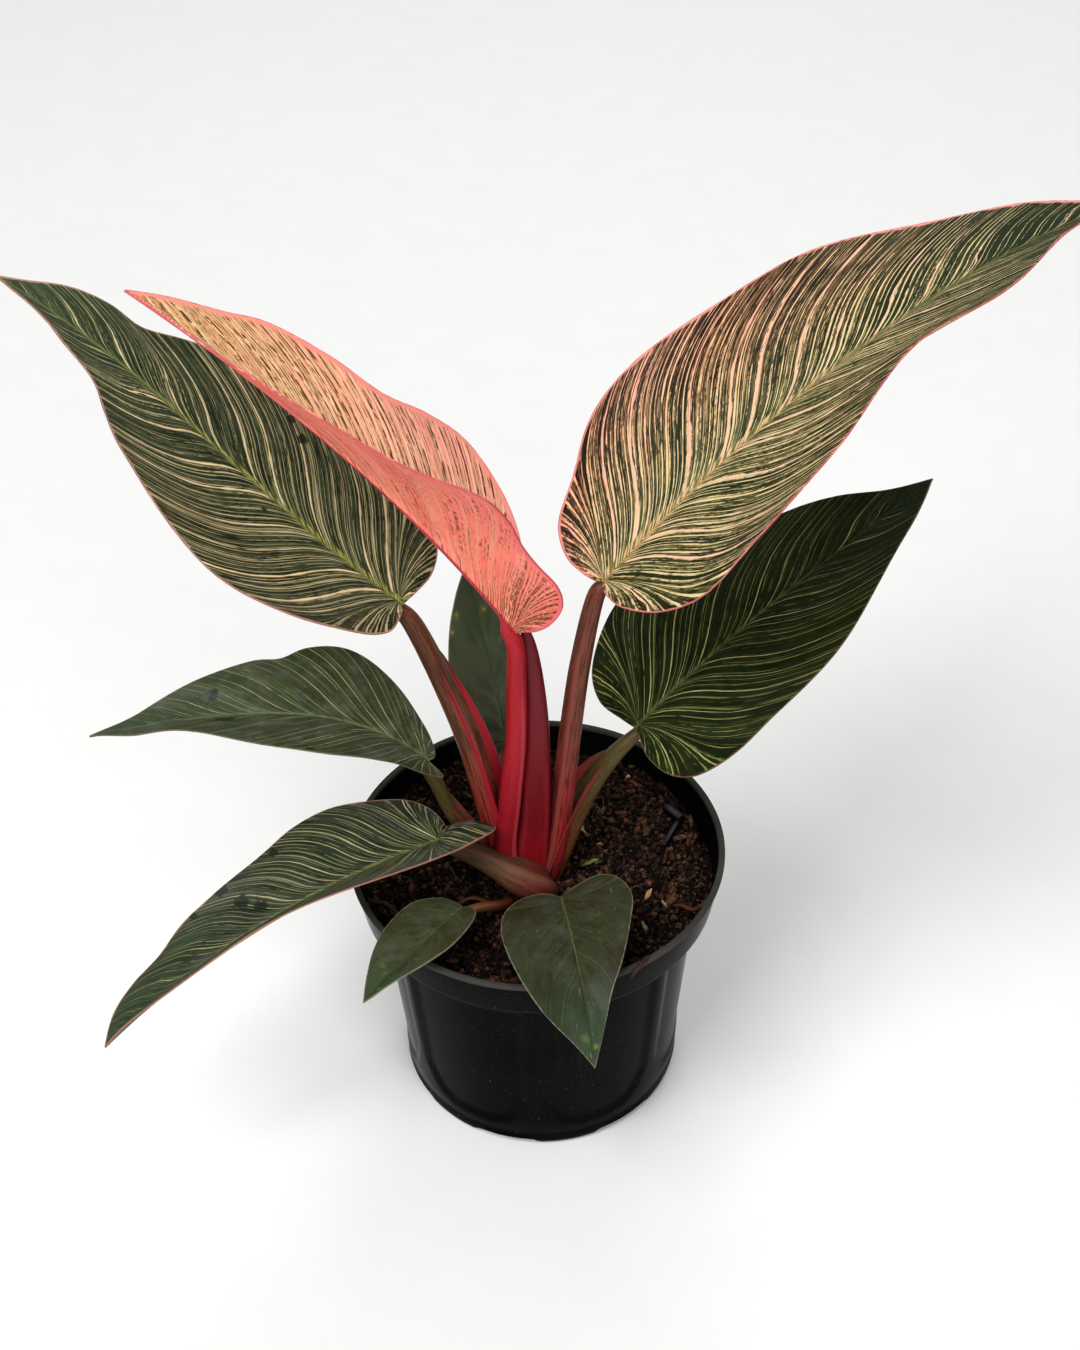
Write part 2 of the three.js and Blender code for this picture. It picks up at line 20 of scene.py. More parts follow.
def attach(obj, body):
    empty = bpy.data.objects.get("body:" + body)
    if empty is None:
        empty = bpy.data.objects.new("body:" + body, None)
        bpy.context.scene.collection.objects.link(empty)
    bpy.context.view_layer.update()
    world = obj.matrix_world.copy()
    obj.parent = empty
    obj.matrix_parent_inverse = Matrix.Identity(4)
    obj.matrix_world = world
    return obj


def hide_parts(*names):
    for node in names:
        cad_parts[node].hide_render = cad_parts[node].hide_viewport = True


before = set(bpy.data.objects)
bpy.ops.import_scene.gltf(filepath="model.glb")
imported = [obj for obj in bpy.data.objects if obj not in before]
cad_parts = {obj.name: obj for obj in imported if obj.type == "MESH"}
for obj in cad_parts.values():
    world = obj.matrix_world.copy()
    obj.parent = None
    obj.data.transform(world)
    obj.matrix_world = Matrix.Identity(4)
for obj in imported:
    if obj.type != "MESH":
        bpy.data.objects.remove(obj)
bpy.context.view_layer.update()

MM = 0.001
BODY = "root"
UP = Vector((0, 0, 1))
LOG = logging.getLogger("plant")
RIM_ANGLE = 44  # from the middle of a stalk's channel to its rims

# Settings that many nodes share
SMOOTH = {"interpolation_type": "SMOOTHSTEP"}
MULTIPLY = {"operation": "MULTIPLY"}
MULTIPLY_ADD = {"operation": "MULTIPLY_ADD"}
DIVIDE = {"operation": "DIVIDE"}

Point = tuple[float, float, float]
Station = tuple[float, float, float, float]
Link = bpy.types.NodeSocket | float | tuple[float, ...]
Value = TypeVar("Value", float, Vector)


class Side(Enum):
    """The half of a blade, seen from its petiole towards its tip."""

    LEFT = 1
    RIGHT = -1


class Face(Enum):
    """Material index of each face of a blade."""

    UPPER = 0
    UNDER = 1


def linear(colour: str) -> tuple[float, float, float, float]:
    """Turns an sRGB hex colour into the linear colour that a shader takes.

    Args:
        colour: Six hex digits, with or without a leading hash.

    Returns:
        Linear red, green and blue, and an alpha of 1.
    """
    digits = colour.lstrip("#")
    parts = [int(digits[i : i + 2], 16) / 255 for i in (0, 2, 4)]
    channels = [c / 12.92 if c <= 0.04045 else ((c + 0.055) / 1.055) ** 2.4 for c in parts]
    return (*channels, 1.0)


def curve_point(a: Value, b: Value, c: Value, d: Value, f: float) -> Value:
    """Reads a smooth curve through four evenly spaced points, between its two middle ones.

    Args:
        a: The point before.
        b: The point that the stretch starts from.
        c: The point that it ends at.
        d: The point after.
        f: Share of the way from b to c.

    Returns:
        The value there.
    """
    return b + 0.5 * f * (c - a + f * (2 * a - 5 * b + 4 * c - d + f * (3 * (b - c) + d - a)))


def along(stations: Sequence[float], t: float) -> float:
    """Reads a smooth value through evenly spaced stations.

    Args:
        stations: The values at equal steps.
        t: Place between the first (0) and the last (1).

    Returns:
        The value there.
    """
    last = len(stations) - 1
    place = min(1.0, max(0.0, t)) * last
    i = min(int(place), last - 1)
    f = place - i
    b, c = stations[i], stations[i + 1]
    a = stations[i - 1] if i else 2 * b - c
    d = stations[i + 2] if i + 2 <= last else 2 * c - b
    return curve_point(a, b, c, d, f)


def hill(offset: float, width: float) -> float:
    """Height of a bell curve of the given width at an offset from its middle."""
    return math.exp(-((offset / width) ** 2))


def ease(low: float, high: float, value: float) -> float:
    """Rises smoothly from 0 at `low` to 1 at `high`."""
    t = min(1.0, max(0.0, (value - low) / (high - low)))
    return t * t * (3 - 2 * t)


class Graph:
    """The node tree of one material."""

    def __init__(self, name: str) -> None:
        """Starts an empty material.

        Args:
            name: Name of the material.
        """
        self.material = bpy.data.materials.new(name)
        self.material.use_nodes = True
        self.tree = self.material.node_tree
        self.tree.nodes.clear()

    def add(
        self, kind: str, settings: dict | None = None, inputs: dict | None = None, output: int | str = 0
    ) -> bpy.types.NodeSocket | None:
        """Adds a node with its settings and links.

        Args:
            kind: The node's type, without its ShaderNode prefix.
            settings: Values of the node's own properties.
            inputs: For each input's name or index, a value or the socket it is linked to.
            output: Which output to give back.

        Returns:
            The output socket, or nothing from a node that has none.
        """
        node = self.tree.nodes.new("ShaderNode" + kind)
        for key, value in (settings or {}).items():
            setattr(node, key, value)
        for key, value in (inputs or {}).items():
            if isinstance(value, bpy.types.NodeSocket):
                self.tree.links.new(value, node.inputs[key])
            else:
                node.inputs[key].default_value = value
        return node.outputs[output] if node.outputs else None

    def product(self, masks: Sequence[Link]) -> Link:
        """Multiplies masks.

        Args:
            masks: The masks, from 0 to 1, or plain factors.

        Returns:
            Their product.
        """
        whole = masks[0]
        for mask in masks[1:]:
            whole = self.add("Math", MULTIPLY, {0: whole, 1: mask})
        return whole

    def layered(self, ground: Link, layers: Sequence[tuple[Link, Link]]) -> Link:
        """Lays colours over each other.

        Args:
            ground: The colour below all others.
            layers: Pairs of a colour and how much of it covers what lies below.

        Returns:
            The colour socket of the whole.
        """
        whole = ground
        for colour, cover in layers:
            whole = self.add("Mix", {"data_type": "RGBA"}, {0: cover, 6: whole, 7: colour}, output=2)
        return whole

    def finish(self, surface: dict) -> bpy.types.Material:
        """Closes the tree with a Principled shader.

        Args:
            surface: Inputs of the shader.

        Returns:
            The material.
        """
        shader = self.add("BsdfPrincipled", None, surface)
        self.add("OutputMaterial", None, {"Surface": shader})
        return self.material


def settle(
    bm: bmesh.types.BMesh,
    name: str,
    materials: Sequence[bpy.types.Material],
    nodes: Sequence[str] = (),
    sharp: float = 50,
) -> None:
    """Turns a mesh in millimetres into a finished piece of the plant.

    Args:
        bm: The mesh, which is freed.
        name: Name of the piece.
        materials: Its materials, in the order of its material indices.
        nodes: The CAD nodes that it stands for.
        sharp: Edges that turn more than this stay crisp.
    """
    bmesh.ops.scale(bm, vec=(MM, MM, MM), verts=bm.verts)
    mesh = bpy.data.meshes.new(name)
    bm.to_mesh(mesh)
    bm.free()
    mesh.shade_smooth()
    mesh.set_sharp_from_angle(angle=math.radians(sharp))
    for material in materials:
        mesh.materials.append(material)
    piece = bpy.data.objects.new(name, mesh)
    bpy.context.scene.collection.objects.link(piece)
    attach(piece, BODY)
    if nodes:
        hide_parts(*nodes)
    LOG.info("%s: %d faces", name, len(mesh.polygons))


@dataclass(frozen=True)
class Stroke:
    """Pale or dark lines that follow the veins of a blade. Lengths are in millimetres."""

    colour: str  # next to the midrib
    outer: str  # at the margin
    pitch: float  # from line to line
    width: float  # of an average line
    spread: float = 0.6  # how unequal the widths are
    scatter: float = 1.0  # how unevenly the lines lie, 0 to 1
    cover: float = 1.0  # share of the lines that are there
    wander: float = 0.25  # how far a line strays sideways
    broken: float = 0.0  # share of a line that is missing
    dash: float = 14.0  # length of a piece between breaks
    first: float = 0.0  # where the lines begin, from the midrib (0) to the margin (1)
    last: float = 1.3  # where they end
    taper: float = 0.0  # how much thinner a line is at the margin
    fade: float = 0.35  # how much thinner a line is near the tip
    soft: float = 0.35  # blur of its edges
    strength: float = 1.0
    seed: float = 0.0
    patchy: float = 0.0  # share of the blade that the lines leave free, in patches
    until: float = 2.0  # share of the midrib's length where they stop


@dataclass(frozen=True)
class Spot:
    """A mark on a blade, in millimetres along and out from the midrib."""

    x: float
    y: float
    radius: float
    colour: str
    strength: float = 0.9
    soft: float = 0.2  # share of the radius over which it fades out


class Place(NamedTuple):
    """Where a point of a blade lies, as sockets of its material."""

    veins: Link  # u and v as one vector
    u: Link  # millimetres across the veins
    v: Link  # share of the way from the midrib to the margin
    share: Link  # share of the way from the petiole to the tip


@dataclass(frozen=True)
class LeafSkin:
    """Waxy leaf skin: cell tissue under a clear cuticle, which gives a soft satin shine."""

    ground: str
    patch: str  # a second tone, in patches drawn out along the veins
    patch_share: float
    blush: str  # tone of the outer half
    blush_share: float
    tip: str
    tip_share: float
    strokes: tuple[Stroke, ...]
    rib: str
    rib_streak: str
    rib_tip: str
    rib_width: float
    margin: str
    margin_widths: tuple[float, float]  # on the left half and on the right half
    rim: str
    spots: tuple[Spot, ...] = ()
    roughness: float = 0.42
    shine: float = 0.22  # strength of the cuticle's reflection
    relief: float = 0.07  # depth of the fine ridges between the smallest veins
    bloom: float = 0.0  # share of a pale dusty film
    scuffs: float = 0.0  # strength of short pale scratches
    lopsided: float = 0.0  # how much less the right half is blushed than the left one

    def stroke_mask(self, graph: Graph, stroke: Stroke, place: Place, length: float) -> Link:
        """Finds where the lines of a stroke are.

        Args:
            graph: The material's tree.
            stroke: The lines.
            place: Where the point lies.
            length: Length of a long vein.

        Returns:
            1 on a line, 0 off it.
        """
        # Lines are cells across the veins that stray sideways, and each draws its own width and breaks
        shift = (stroke.seed, 0, stroke.seed)
        shifted = graph.add("Mapping", None, {0: place.veins, "Location": shift, "Scale": (0.35, 3, 1)})
        stray = graph.add("TexNoise", None, {0: shifted, "Scale": 1, "Detail": 2.5, "Roughness": 0.55})
        sway = 4 * stroke.wander / stroke.pitch
        push = graph.add("Math", MULTIPLY_ADD, {0: stray, 1: sway, 2: stroke.seed})
        count = graph.add("Math", MULTIPLY_ADD, {0: place.u, 1: 1 / stroke.pitch, 2: push})
        cell = {"voronoi_dimensions": "1D"}
        distance = graph.add("TexVoronoi", cell, {"W": count, "Scale": 1, "Randomness": stroke.scatter})
        draws = graph.add("SeparateColor", None, {0: distance.node.outputs["Color"]})
        half = 0.5 * stroke.width / stroke.pitch
        widths = {3: half * (1 - stroke.spread), 4: half * (1 + stroke.spread)}
        wide = graph.add("MapRange", None, {0: draws, **widths})
        thin = graph.add("MapRange", None, {0: place.v, 3: 1, 4: 1 - stroke.taper})
        late = graph.add("MapRange", None, {0: place.share, 1: 0.35, 3: 1, 4: 1 - stroke.fade})
        shift = (0, 0, 9 + stroke.seed)
        dashes = (0.9 / stroke.pitch, length / stroke.dash, 1)
        cut = graph.add("Mapping", None, {0: place.veins, "Location": shift, "Scale": dashes})
        gaps = graph.add("TexNoise", None, {0: cut, "Scale": 1, "Detail": 3, "Roughness": 0.6})
        beads = graph.add("MapRange", None, {0: gaps, 1: 0.35, 2: 0.65, 3: 0.6, 4: 1.4})
        reach = graph.product([wide, thin, late, beads])
        ratio = graph.add("Math", DIVIDE, {0: distance, 1: reach})
        masks = [graph.add("MapRange", SMOOTH, {0: ratio, 1: 1 + stroke.soft, 2: 1 - stroke.soft})]
        far = graph.add("Math", MULTIPLY_ADD, {0: draws.node.outputs[2], 1: -0.35, 2: place.v})
        masks.append(graph.add("MapRange", SMOOTH, {0: far, 1: stroke.last, 2: stroke.last - 0.25}))
        if stroke.first > 0:
            masks.append(graph.add("MapRange", SMOOTH, {0: far, 1: stroke.first - 0.25, 2: stroke.first}))
        if stroke.cover < 1:
            there = {"operation": "LESS_THAN"}
            masks.append(graph.add("Math", there, {0: draws.node.outputs[1], 1: stroke.cover}))
        if stroke.broken > 0:
            edge = 0.36 + 0.28 * stroke.broken
            masks.append(graph.add("MapRange", SMOOTH, {0: gaps, 1: edge - 0.05, 2: edge + 0.05}))
        if stroke.patchy > 0:
            # Clear patches of 8 mm across the veins and 22 mm along them
            patches = {"Location": (4, 0, stroke.seed), "Scale": (1 / 8, length / 22, 1)}
            cloud = graph.add("Mapping", None, {0: place.veins, **patches})
            cloud = graph.add("TexNoise", None, {0: cloud, "Scale": 1, "Detail": 2})
            edge = 0.32 + 0.36 * stroke.patchy
            masks.append(graph.add("MapRange", SMOOTH, {0: cloud, 1: edge - 0.06, 2: edge + 0.06}))
        if stroke.until < 1:
            stop = {1: stroke.until + 0.12, 2: stroke.until}
            masks.append(graph.add("MapRange", SMOOTH, {0: place.share, **stop}))
        dim = {0: place.share, 1: 0.65, 3: stroke.strength, 4: stroke.strength * (1 - 0.6 * stroke.fade)}
        masks.append(graph.add("MapRange", None, dim))
        return graph.product(masks)

    def material(self, name: str, leaf_length: float, half_width: float) -> bpy.types.Material:
        """Makes the skin for a blade of that size.

        Args:
            name: Name of the material.
            leaf_length: Length of the midrib.
            half_width: Width of the wider half.

        Returns:
            The material.
        """
        graph = Graph(name)
        veins = graph.add("UVMap", {"uv_map": "Veins"})
        flat = graph.add("UVMap", {"uv_map": "Flat"})
        u = graph.add("SeparateXYZ", None, {0: veins})
        v = u.node.outputs[1]
        x = graph.add("SeparateXYZ", None, {0: flat})
        y = graph.add("Math", {"operation": "ABSOLUTE"}, {0: x.node.outputs[1]})
        share = graph.add("Math", DIVIDE, {0: x, 1: leaf_length})
        place = Place(veins, u, v, share)
        margin = graph.add("Attribute", {"attribute_name": "Margin"}, output="Fac")
        vein_length = 1.6 * half_width  # veins run aslant, so they are longer than the half is wide

        # Clouds of a second tone, 7 mm across the veins and 30 mm along them
        drawn = graph.add("Mapping", None, {0: veins, "Scale": (1 / 7, vein_length / 30, 1)})
        cloud = graph.add("TexNoise", None, {0: drawn, "Scale": 1, "Detail": 4, "Roughness": 0.65})
        low, high = 0.62 - 0.3 * self.patch_share, 0.72 - 0.3 * self.patch_share
        patches = graph.add("MapRange", SMOOTH, {0: cloud, 1: low, 2: high})
        outward = graph.add("Math", MULTIPLY_ADD, {0: v, 1: 0.45, 2: cloud})
        flush = graph.add("MapRange", SMOOTH, {0: outward, 1: 0.62, 2: 0.95, 4: self.blush_share})
        early = graph.add("MapRange", SMOOTH, {0: share, 1: 0.35, 2: 0.85, 3: 1, 4: 0.1})
        sides = {0: x.node.outputs[1], 1: -9, 2: 9, 3: 1 - self.lopsided, 4: 1}
        early = graph.product([early, graph.add("MapRange", SMOOTH, sides)])
        late = graph.add("MapRange", SMOOTH, {0: share, 1: 0.45, 2: 0.95, 4: self.tip_share})
        layers = [
            (linear(self.patch), patches),
            (linear(self.blush), graph.product([flush, early])),
            (linear(self.tip), late),
        ]
        warm = graph.product([v, early])
        for stroke in self.strokes:
            mask = self.stroke_mask(graph, stroke, place, vein_length)
            tint = graph.layered(linear(stroke.colour), [(linear(stroke.outer), warm)])
            layers.append((tint, mask))
        ridges = mask  # the boldest lines come last and stand up a little

        # The midrib narrows to 0.25 mm at the tip and has short oblique streaks where veins join it
        left = graph.add("MapRange", None, {0: x, 1: 0, 2: leaf_length, 3: self.rib_width, 4: 0.25})
        part = graph.add("Math", DIVIDE, {0: y, 1: left})
        on_rib = graph.add("MapRange", SMOOTH, {0: part, 1: 0.66, 2: 0.36, 4: 0.9})
        lengthwise = graph.add("Mapping", None, {0: flat, "Scale": (0.06, 1.6, 1)})
        grain = graph.add("TexNoise", None, {0: lengthwise, "Scale": 1, "Detail": 2})
        streaks = graph.add("MapRange", SMOOTH, {0: grain, 1: 0.58, 2: 0.66, 4: 0.6})
        oblique = graph.add("Mapping", None, {0: veins, "Scale": (0.8, 4, 1)})
        hatch = graph.add("TexNoise", None, {0: oblique, "Scale": 1, "Detail": 1})
        joined = graph.add("MapRange", SMOOTH, {0: hatch, 1: 0.47, 2: 0.55})
        towards_tip = graph.add("MapRange", SMOOTH, {0: share, 1: 0.35, 2: 0.8, 4: 0.9})
        streak = linear(self.rib_streak)
        parts = [(streak, joined), (streak, streaks), (linear(self.rib_tip), towards_tip)]
        layers.append((graph.layered(linear(self.rib), parts), on_rib))

        # The coloured margin varies in width, and leaves out the notch beside the junction
        off = graph.add("VectorMath", {"operation": "LENGTH"}, {0: flat}, output=1)
        clear = graph.add("MapRange", SMOOTH, {0: off, 1: 2, 2: 7})
        uneven = graph.add("MapRange", None, {0: cloud, 1: 0.3, 2: 0.7, 3: 0.5, 4: 1.5})
        on_left, on_right = self.margin_widths
        wide = graph.add("MapRange", SMOOTH, {0: x.node.outputs[1], 1: -6, 2: 6, 3: on_right, 4: on_left})
        inside = graph.add("Math", DIVIDE, {0: margin, 1: graph.product([uneven, wide])})
        on_margin = graph.add("MapRange", SMOOTH, {0: inside, 1: 1.3, 2: 0.7})
        layers.append((linear(self.margin), graph.product([on_margin, clear])))
        at_rim = graph.add("MapRange", SMOOTH, {0: margin, 1: 0.45, 2: 0.15, 4: 0.8})
        layers.append((linear(self.rim), graph.product([at_rim, clear])))

        blots = graph.add("TexNoise", None, {0: flat, "Scale": 0.6, "Detail": 4, "Roughness": 0.6})
        for spot in self.spots:
            span = {"operation": "DISTANCE"}
            away = graph.add("VectorMath", span, {0: flat, 1: (spot.x, spot.y, 0)}, output=1)
            ragged = graph.add("Math", MULTIPLY_ADD, {0: blots, 1: 2 * spot.radius, 2: away})
            outer = 2.2 * spot.radius
            within = {1: outer, 2: (1 - spot.soft) * outer, 4: spot.strength}
            on_spot = graph.add("MapRange", SMOOTH, {0: ragged, **within})
            layers.append((linear(spot.colour), on_spot))

        if self.bloom > 0:
            dust = graph.add("TexNoise", None, {0: flat, "Scale": 0.09, "Detail": 5, "Roughness": 0.7})
            film = graph.add("MapRange", SMOOTH, {0: dust, 1: 0.45, 2: 0.75, 4: self.bloom})
            layers.append((linear("b9bdb2"), film))
        if self.scuffs > 0:
            slope = {"Rotation": (0, 0, 0.6), "Scale": (0.22, 1.4, 1)}
            scratch = graph.add("Mapping", None, {0: flat, **slope})
            scratch = graph.add("TexNoise", None, {0: scratch, "Scale": 1, "Detail": 3, "Roughness": 0.6})
            scratch = graph.add("MapRange", SMOOTH, {0: scratch, 1: 0.68, 2: 0.74, 4: self.scuffs})
            layers.append((linear("b4bcae"), scratch))

        pores = graph.add("TexNoise", None, {0: flat, "Scale": 1.6, "Detail": 3})
        gloss = {1: 0.3, 2: 0.7, 3: self.roughness - 0.06, 4: self.roughness + 0.06}
        shine = graph.add("MapRange", None, {0: pores, **gloss})
        height = graph.add("Math", MULTIPLY_ADD, {0: pores, 1: 0.5, 2: ridges})
        bump = graph.add("Bump", None, {"Height": height, "Distance": self.relief * MM, "Strength": 0.8})
        surface = {
            "Base Color": graph.layered(linear(self.ground), layers),
            "Roughness": shine,
            "Normal": bump,
            "IOR": 1.45,
            "Specular IOR Level": self.shine,
        }
        return graph.finish(surface)


@dataclass(frozen=True)
class Half:
    """Half of a blade: how it leans up from the midrib, and its edge as [along, out] points."""

    lean: tuple[float, ...]
    edge: tuple[tuple[float, float], ...]


@dataclass(frozen=True)
class Waves:
    """Waves of a blade's edge."""

    count: float
    height: float
    phase: float


class Spine:
    """The midrib's course, from the junction with the petiole to the tip."""

    STEPS = 96

    def __init__(self, junction: Point, heading: float, rise: Sequence[float], length: float) -> None:
        """Lays out the course.

        Args:
            junction: Where it starts.
            heading: Compass direction, from +X.
            rise: Slopes along it.
            length: Its length.
        """
        self.course = math.radians(heading)
        self.rise = rise
        self.length = length
        self.side = Vector((-math.sin(self.course), math.cos(self.course), 0))
        self.points = [Vector(junction)]
        for i in range(self.STEPS):
            step = self.direction((i + 0.5) / self.STEPS) * (length / self.STEPS)
            self.points.append(self.points[i] + step)

    def direction(self, t: float) -> Vector:
        """Gives the direction of the midrib.

        Args:
            t: Share of its length.

        Returns:
            The direction there.
        """
        slope = math.radians(along(self.rise, t))
        level = math.cos(slope)
        return Vector((level * math.cos(self.course), level * math.sin(self.course), math.sin(slope)))

    def at(self, x: float) -> tuple[Vector, Vector]:
        """Gives a point of the midrib, or of the straight line that runs on at its ends.

        Args:
            x: Distance along the midrib.

        Returns:
            The point, and the direction that the blade faces there.
        """
        t = min(1.0, max(0.0, x / self.length))
        forward = self.direction(t)
        i = min(int(t * self.STEPS), self.STEPS - 1)
        origin = self.points[i].lerp(self.points[i + 1], t * self.STEPS - i)
        origin += forward * (min(x, 0.0) + max(x - self.length, 0.0))
        return origin, forward.cross(self.side)


@dataclass
class Vein:
    """One vein of a half."""

    start: float  # on the midrib
    end: Vector  # on the edge
    share: float  # how far round the edge its end is
    swell: float  # how far it bows towards the tip, as a share of the half's width
    sweep: float  # how much of its run towards the tip it makes close to the margin
    across: float = 0.0  # distance to it from the first vein, square to the veins


@dataclass
class Blade:
    """A leaf blade on a curved midrib, notched at its foot, with quilted veins and a wavy edge."""

    name: str
    junction: Point
    heading: float
    rise: tuple[float, ...]
    length: float
    waves: Waves
    left: Half
    right: Half
    upper: LeafSkin
    under: LeafSkin
    notch: float = 1.5
    thickness: float = 0.5
    keel: float = 1.3
    groove: float = 0.35
    quilt: float = 0.3  # height of the swellings between the main veins
    main_pitch: float = 7.5
    slant: tuple[float, float] = (0.7, 2.3)  # lean of a vein at the foot, and what the tip adds to it
    slip: float = 4.5  # how far a vein runs along with the midrib before it leaves it
    swell: float = 0.35  # how far the veins of a lobe bow towards the tip, as a share of its width
    sweep: float = 0.45  # how much of its run towards the tip a vein makes close to the margin
    crown: float = 0.0  # how far the lobes swell up between the midrib and their edge
    columns: tuple[int, int] = (34, 130)  # veins of a lobe, and along the midrib
    rows: int = 30  # from the midrib to the margin

    EDGE_STEPS = 24  # samples of the edge for each of its points
    EVENING = 60  # passes that even out the distances between the veins

    def edge_samples(self, half: Half) -> tuple[list[Vector], list[float]]:
        """Samples the edge of a half.

        Args:
            half: The half.

        Returns:
            Points [along, out] from the notch to the tip, and the distance round the edge to each.
        """
        points = [Vector((-self.notch, 0)), *(Vector(p) for p in half.edge), Vector((self.length, 0))]
        last = len(points) - 1
        count = self.EDGE_STEPS * (last + 1)
        samples = []
        for k in range(count + 1):
            place = k / count * last
            i = min(int(place), last - 1)
            f = place - i
            a, b, c, d = (points[min(max(j, 0), last)] for j in range(i - 1, i + 3))
            samples.append(curve_point(a, b, c, d, f))
        reached = [0.0]
        for a, b in zip(samples, samples[1:]):
            reached.append(reached[-1] + (b - a).length)
        return samples, reached

    def veins(self, half: Half) -> list[Vein]:
        """Lays out the veins of a half, from the notch to the tip.

        Args:
            half: The half.

        Returns:
            One vein for each column of the mesh.
        """
        samples, reached = self.edge_samples(half)
        foot, tip = self.slant
        starts = [p.x - (foot + tip * (max(p.x, 0) / self.length) ** 2) * p.y for p in samples]
        for i in range(len(starts) - 2, -1, -1):
            starts[i] = min(starts[i], starts[i + 1])
        lobes, ribs = self.columns

        def distance_for(start: float) -> float:
            """Finds where the vein that starts at a place on the midrib ends.

            Args:
                start: The place on the midrib.

            Returns:
                The distance round the edge.
            """
            i = next((i for i, s in enumerate(starts) if s >= start), len(starts) - 1)
            if i == 0:
                return 0.0
            low, high = starts[i - 1], starts[i]
            f = (start - low) / (high - low) if high > low else 1.0
            return reached[i - 1] + f * (reached[i] - reached[i - 1])

        lobe = distance_for(1e-6)
        distances = [lobe * i / lobes for i in range(lobes)]
        distances += [distance_for(self.length * i / ribs) for i in range(1, ribs)] + [reached[-1]]
        distances.insert(lobes, lobe)
        for _ in range(self.EVENING):
            inner = zip(distances, distances[1:], distances[2:])
            distances[1:-1] = [0.25 * a + 0.5 * b + 0.25 * c for a, b, c in inner]
        veins = []
        for i, distance in enumerate(distances):
            k = next((k for k, r in enumerate(reached) if r >= distance), len(reached) - 1)
            k = max(1, k)
            f = min(1.0, (distance - reached[k - 1]) / (reached[k] - reached[k - 1]))
            end = samples[k - 1].lerp(samples[k], f)
            start = self.length * max(0, i - lobes) / ribs
            swell = self.swell * (1 - ease(0, 0.4 * self.length, start))
            sweep = self.sweep * ease(0, 0.2 * self.length, end.x)
            veins.append(Vein(start, end, distance / reached[-1], swell, sweep))
        across = 0.0
        for a, b in zip(veins, veins[1:]):
            low, high = self.vein_point(a, 0.55), self.vein_point(a, 0.65)
            course = (high - low).normalized()
            step = self.vein_point(b, 0.6) - self.vein_point(a, 0.6)
            across += abs(course.cross(step))
            b.across = across
        return veins

    def vein_point(self, vein: Vein, v: float) -> Vector:
        """Gives the flat [along, out] point of a vein.

        Args:
            vein: The vein.
            v: Share of the way from the midrib to the margin.

        Returns:
            The point.
        """
        slip = min(self.slip, vein.start / 3, (self.length - vein.start) / 3)
        x = vein.start + (vein.end.x - vein.start) * ((1 - vein.sweep) * v + vein.sweep * v**5)
        x += vein.swell * vein.end.y * v * (1 - v) - slip * (1 - v) ** 10
        return Vector((x, vein.end.y * v))

    def lift(self, vein: Vein, v: float) -> float:
        """Gives the height of the edge's waves, the quilting and the crown above the smooth sheet.

        Args:
            vein: The vein.
            v: Share of the way from the midrib to the margin.

        Returns:
            The height.
        """
        calm = min(1.0, 8 * vein.share, 8 * (1 - vein.share))
        swing = math.sin(2 * math.pi * self.waves.count * vein.share + math.radians(self.waves.phase))
        turn = 2 * math.pi * (vein.across / self.main_pitch - 0.18)
        puff = self.quilt * (1 - abs(math.cos(turn / 2)) ** 3) * min(1.0, 6 * v, 3 * (1 - v))
        crown = self.crown * ease(2, -12, vein.end.x) * math.sin(math.pi * v)
        return self.waves.height * calm * swing * v * v + puff * calm + crown

    def edge_tree(self, half: Half) -> KDTree:
        """Collects the edge of a half, to find how far a point lies from it.

        Args:
            half: The half.

        Returns:
            A tree of the edge's flat points.
        """
        samples = self.edge_samples(half)[0]
        tree = KDTree(len(samples))
        for i, p in enumerate(samples):
            tree.insert((p.x, p.y, 0), i)
        tree.balance()
        return tree

    def build(self) -> None:
        """Builds the blade with its keel, dresses both of its faces and lets it stand for its node."""
        spine = Spine(self.junction, self.heading, self.rise, self.length)
        halves = {Side.LEFT: self.left, Side.RIGHT: self.right}
        veins = {side: self.veins(half) for side, half in halves.items()}
        margins = {side: self.edge_tree(half) for side, half in halves.items()}
        bm = bmesh.new()
        vein_map = bm.loops.layers.uv.new("Veins")
        flat_map = bm.loops.layers.uv.new("Flat")
        margin_layer = bm.verts.layers.float.new("Margin")
        keel_layer = bm.verts.layers.float_vector.new("Keel")
        last = sum(self.columns)
        bmesh.ops.create_grid(bm, x_segments=last, y_segments=2 * self.rows, size=1)
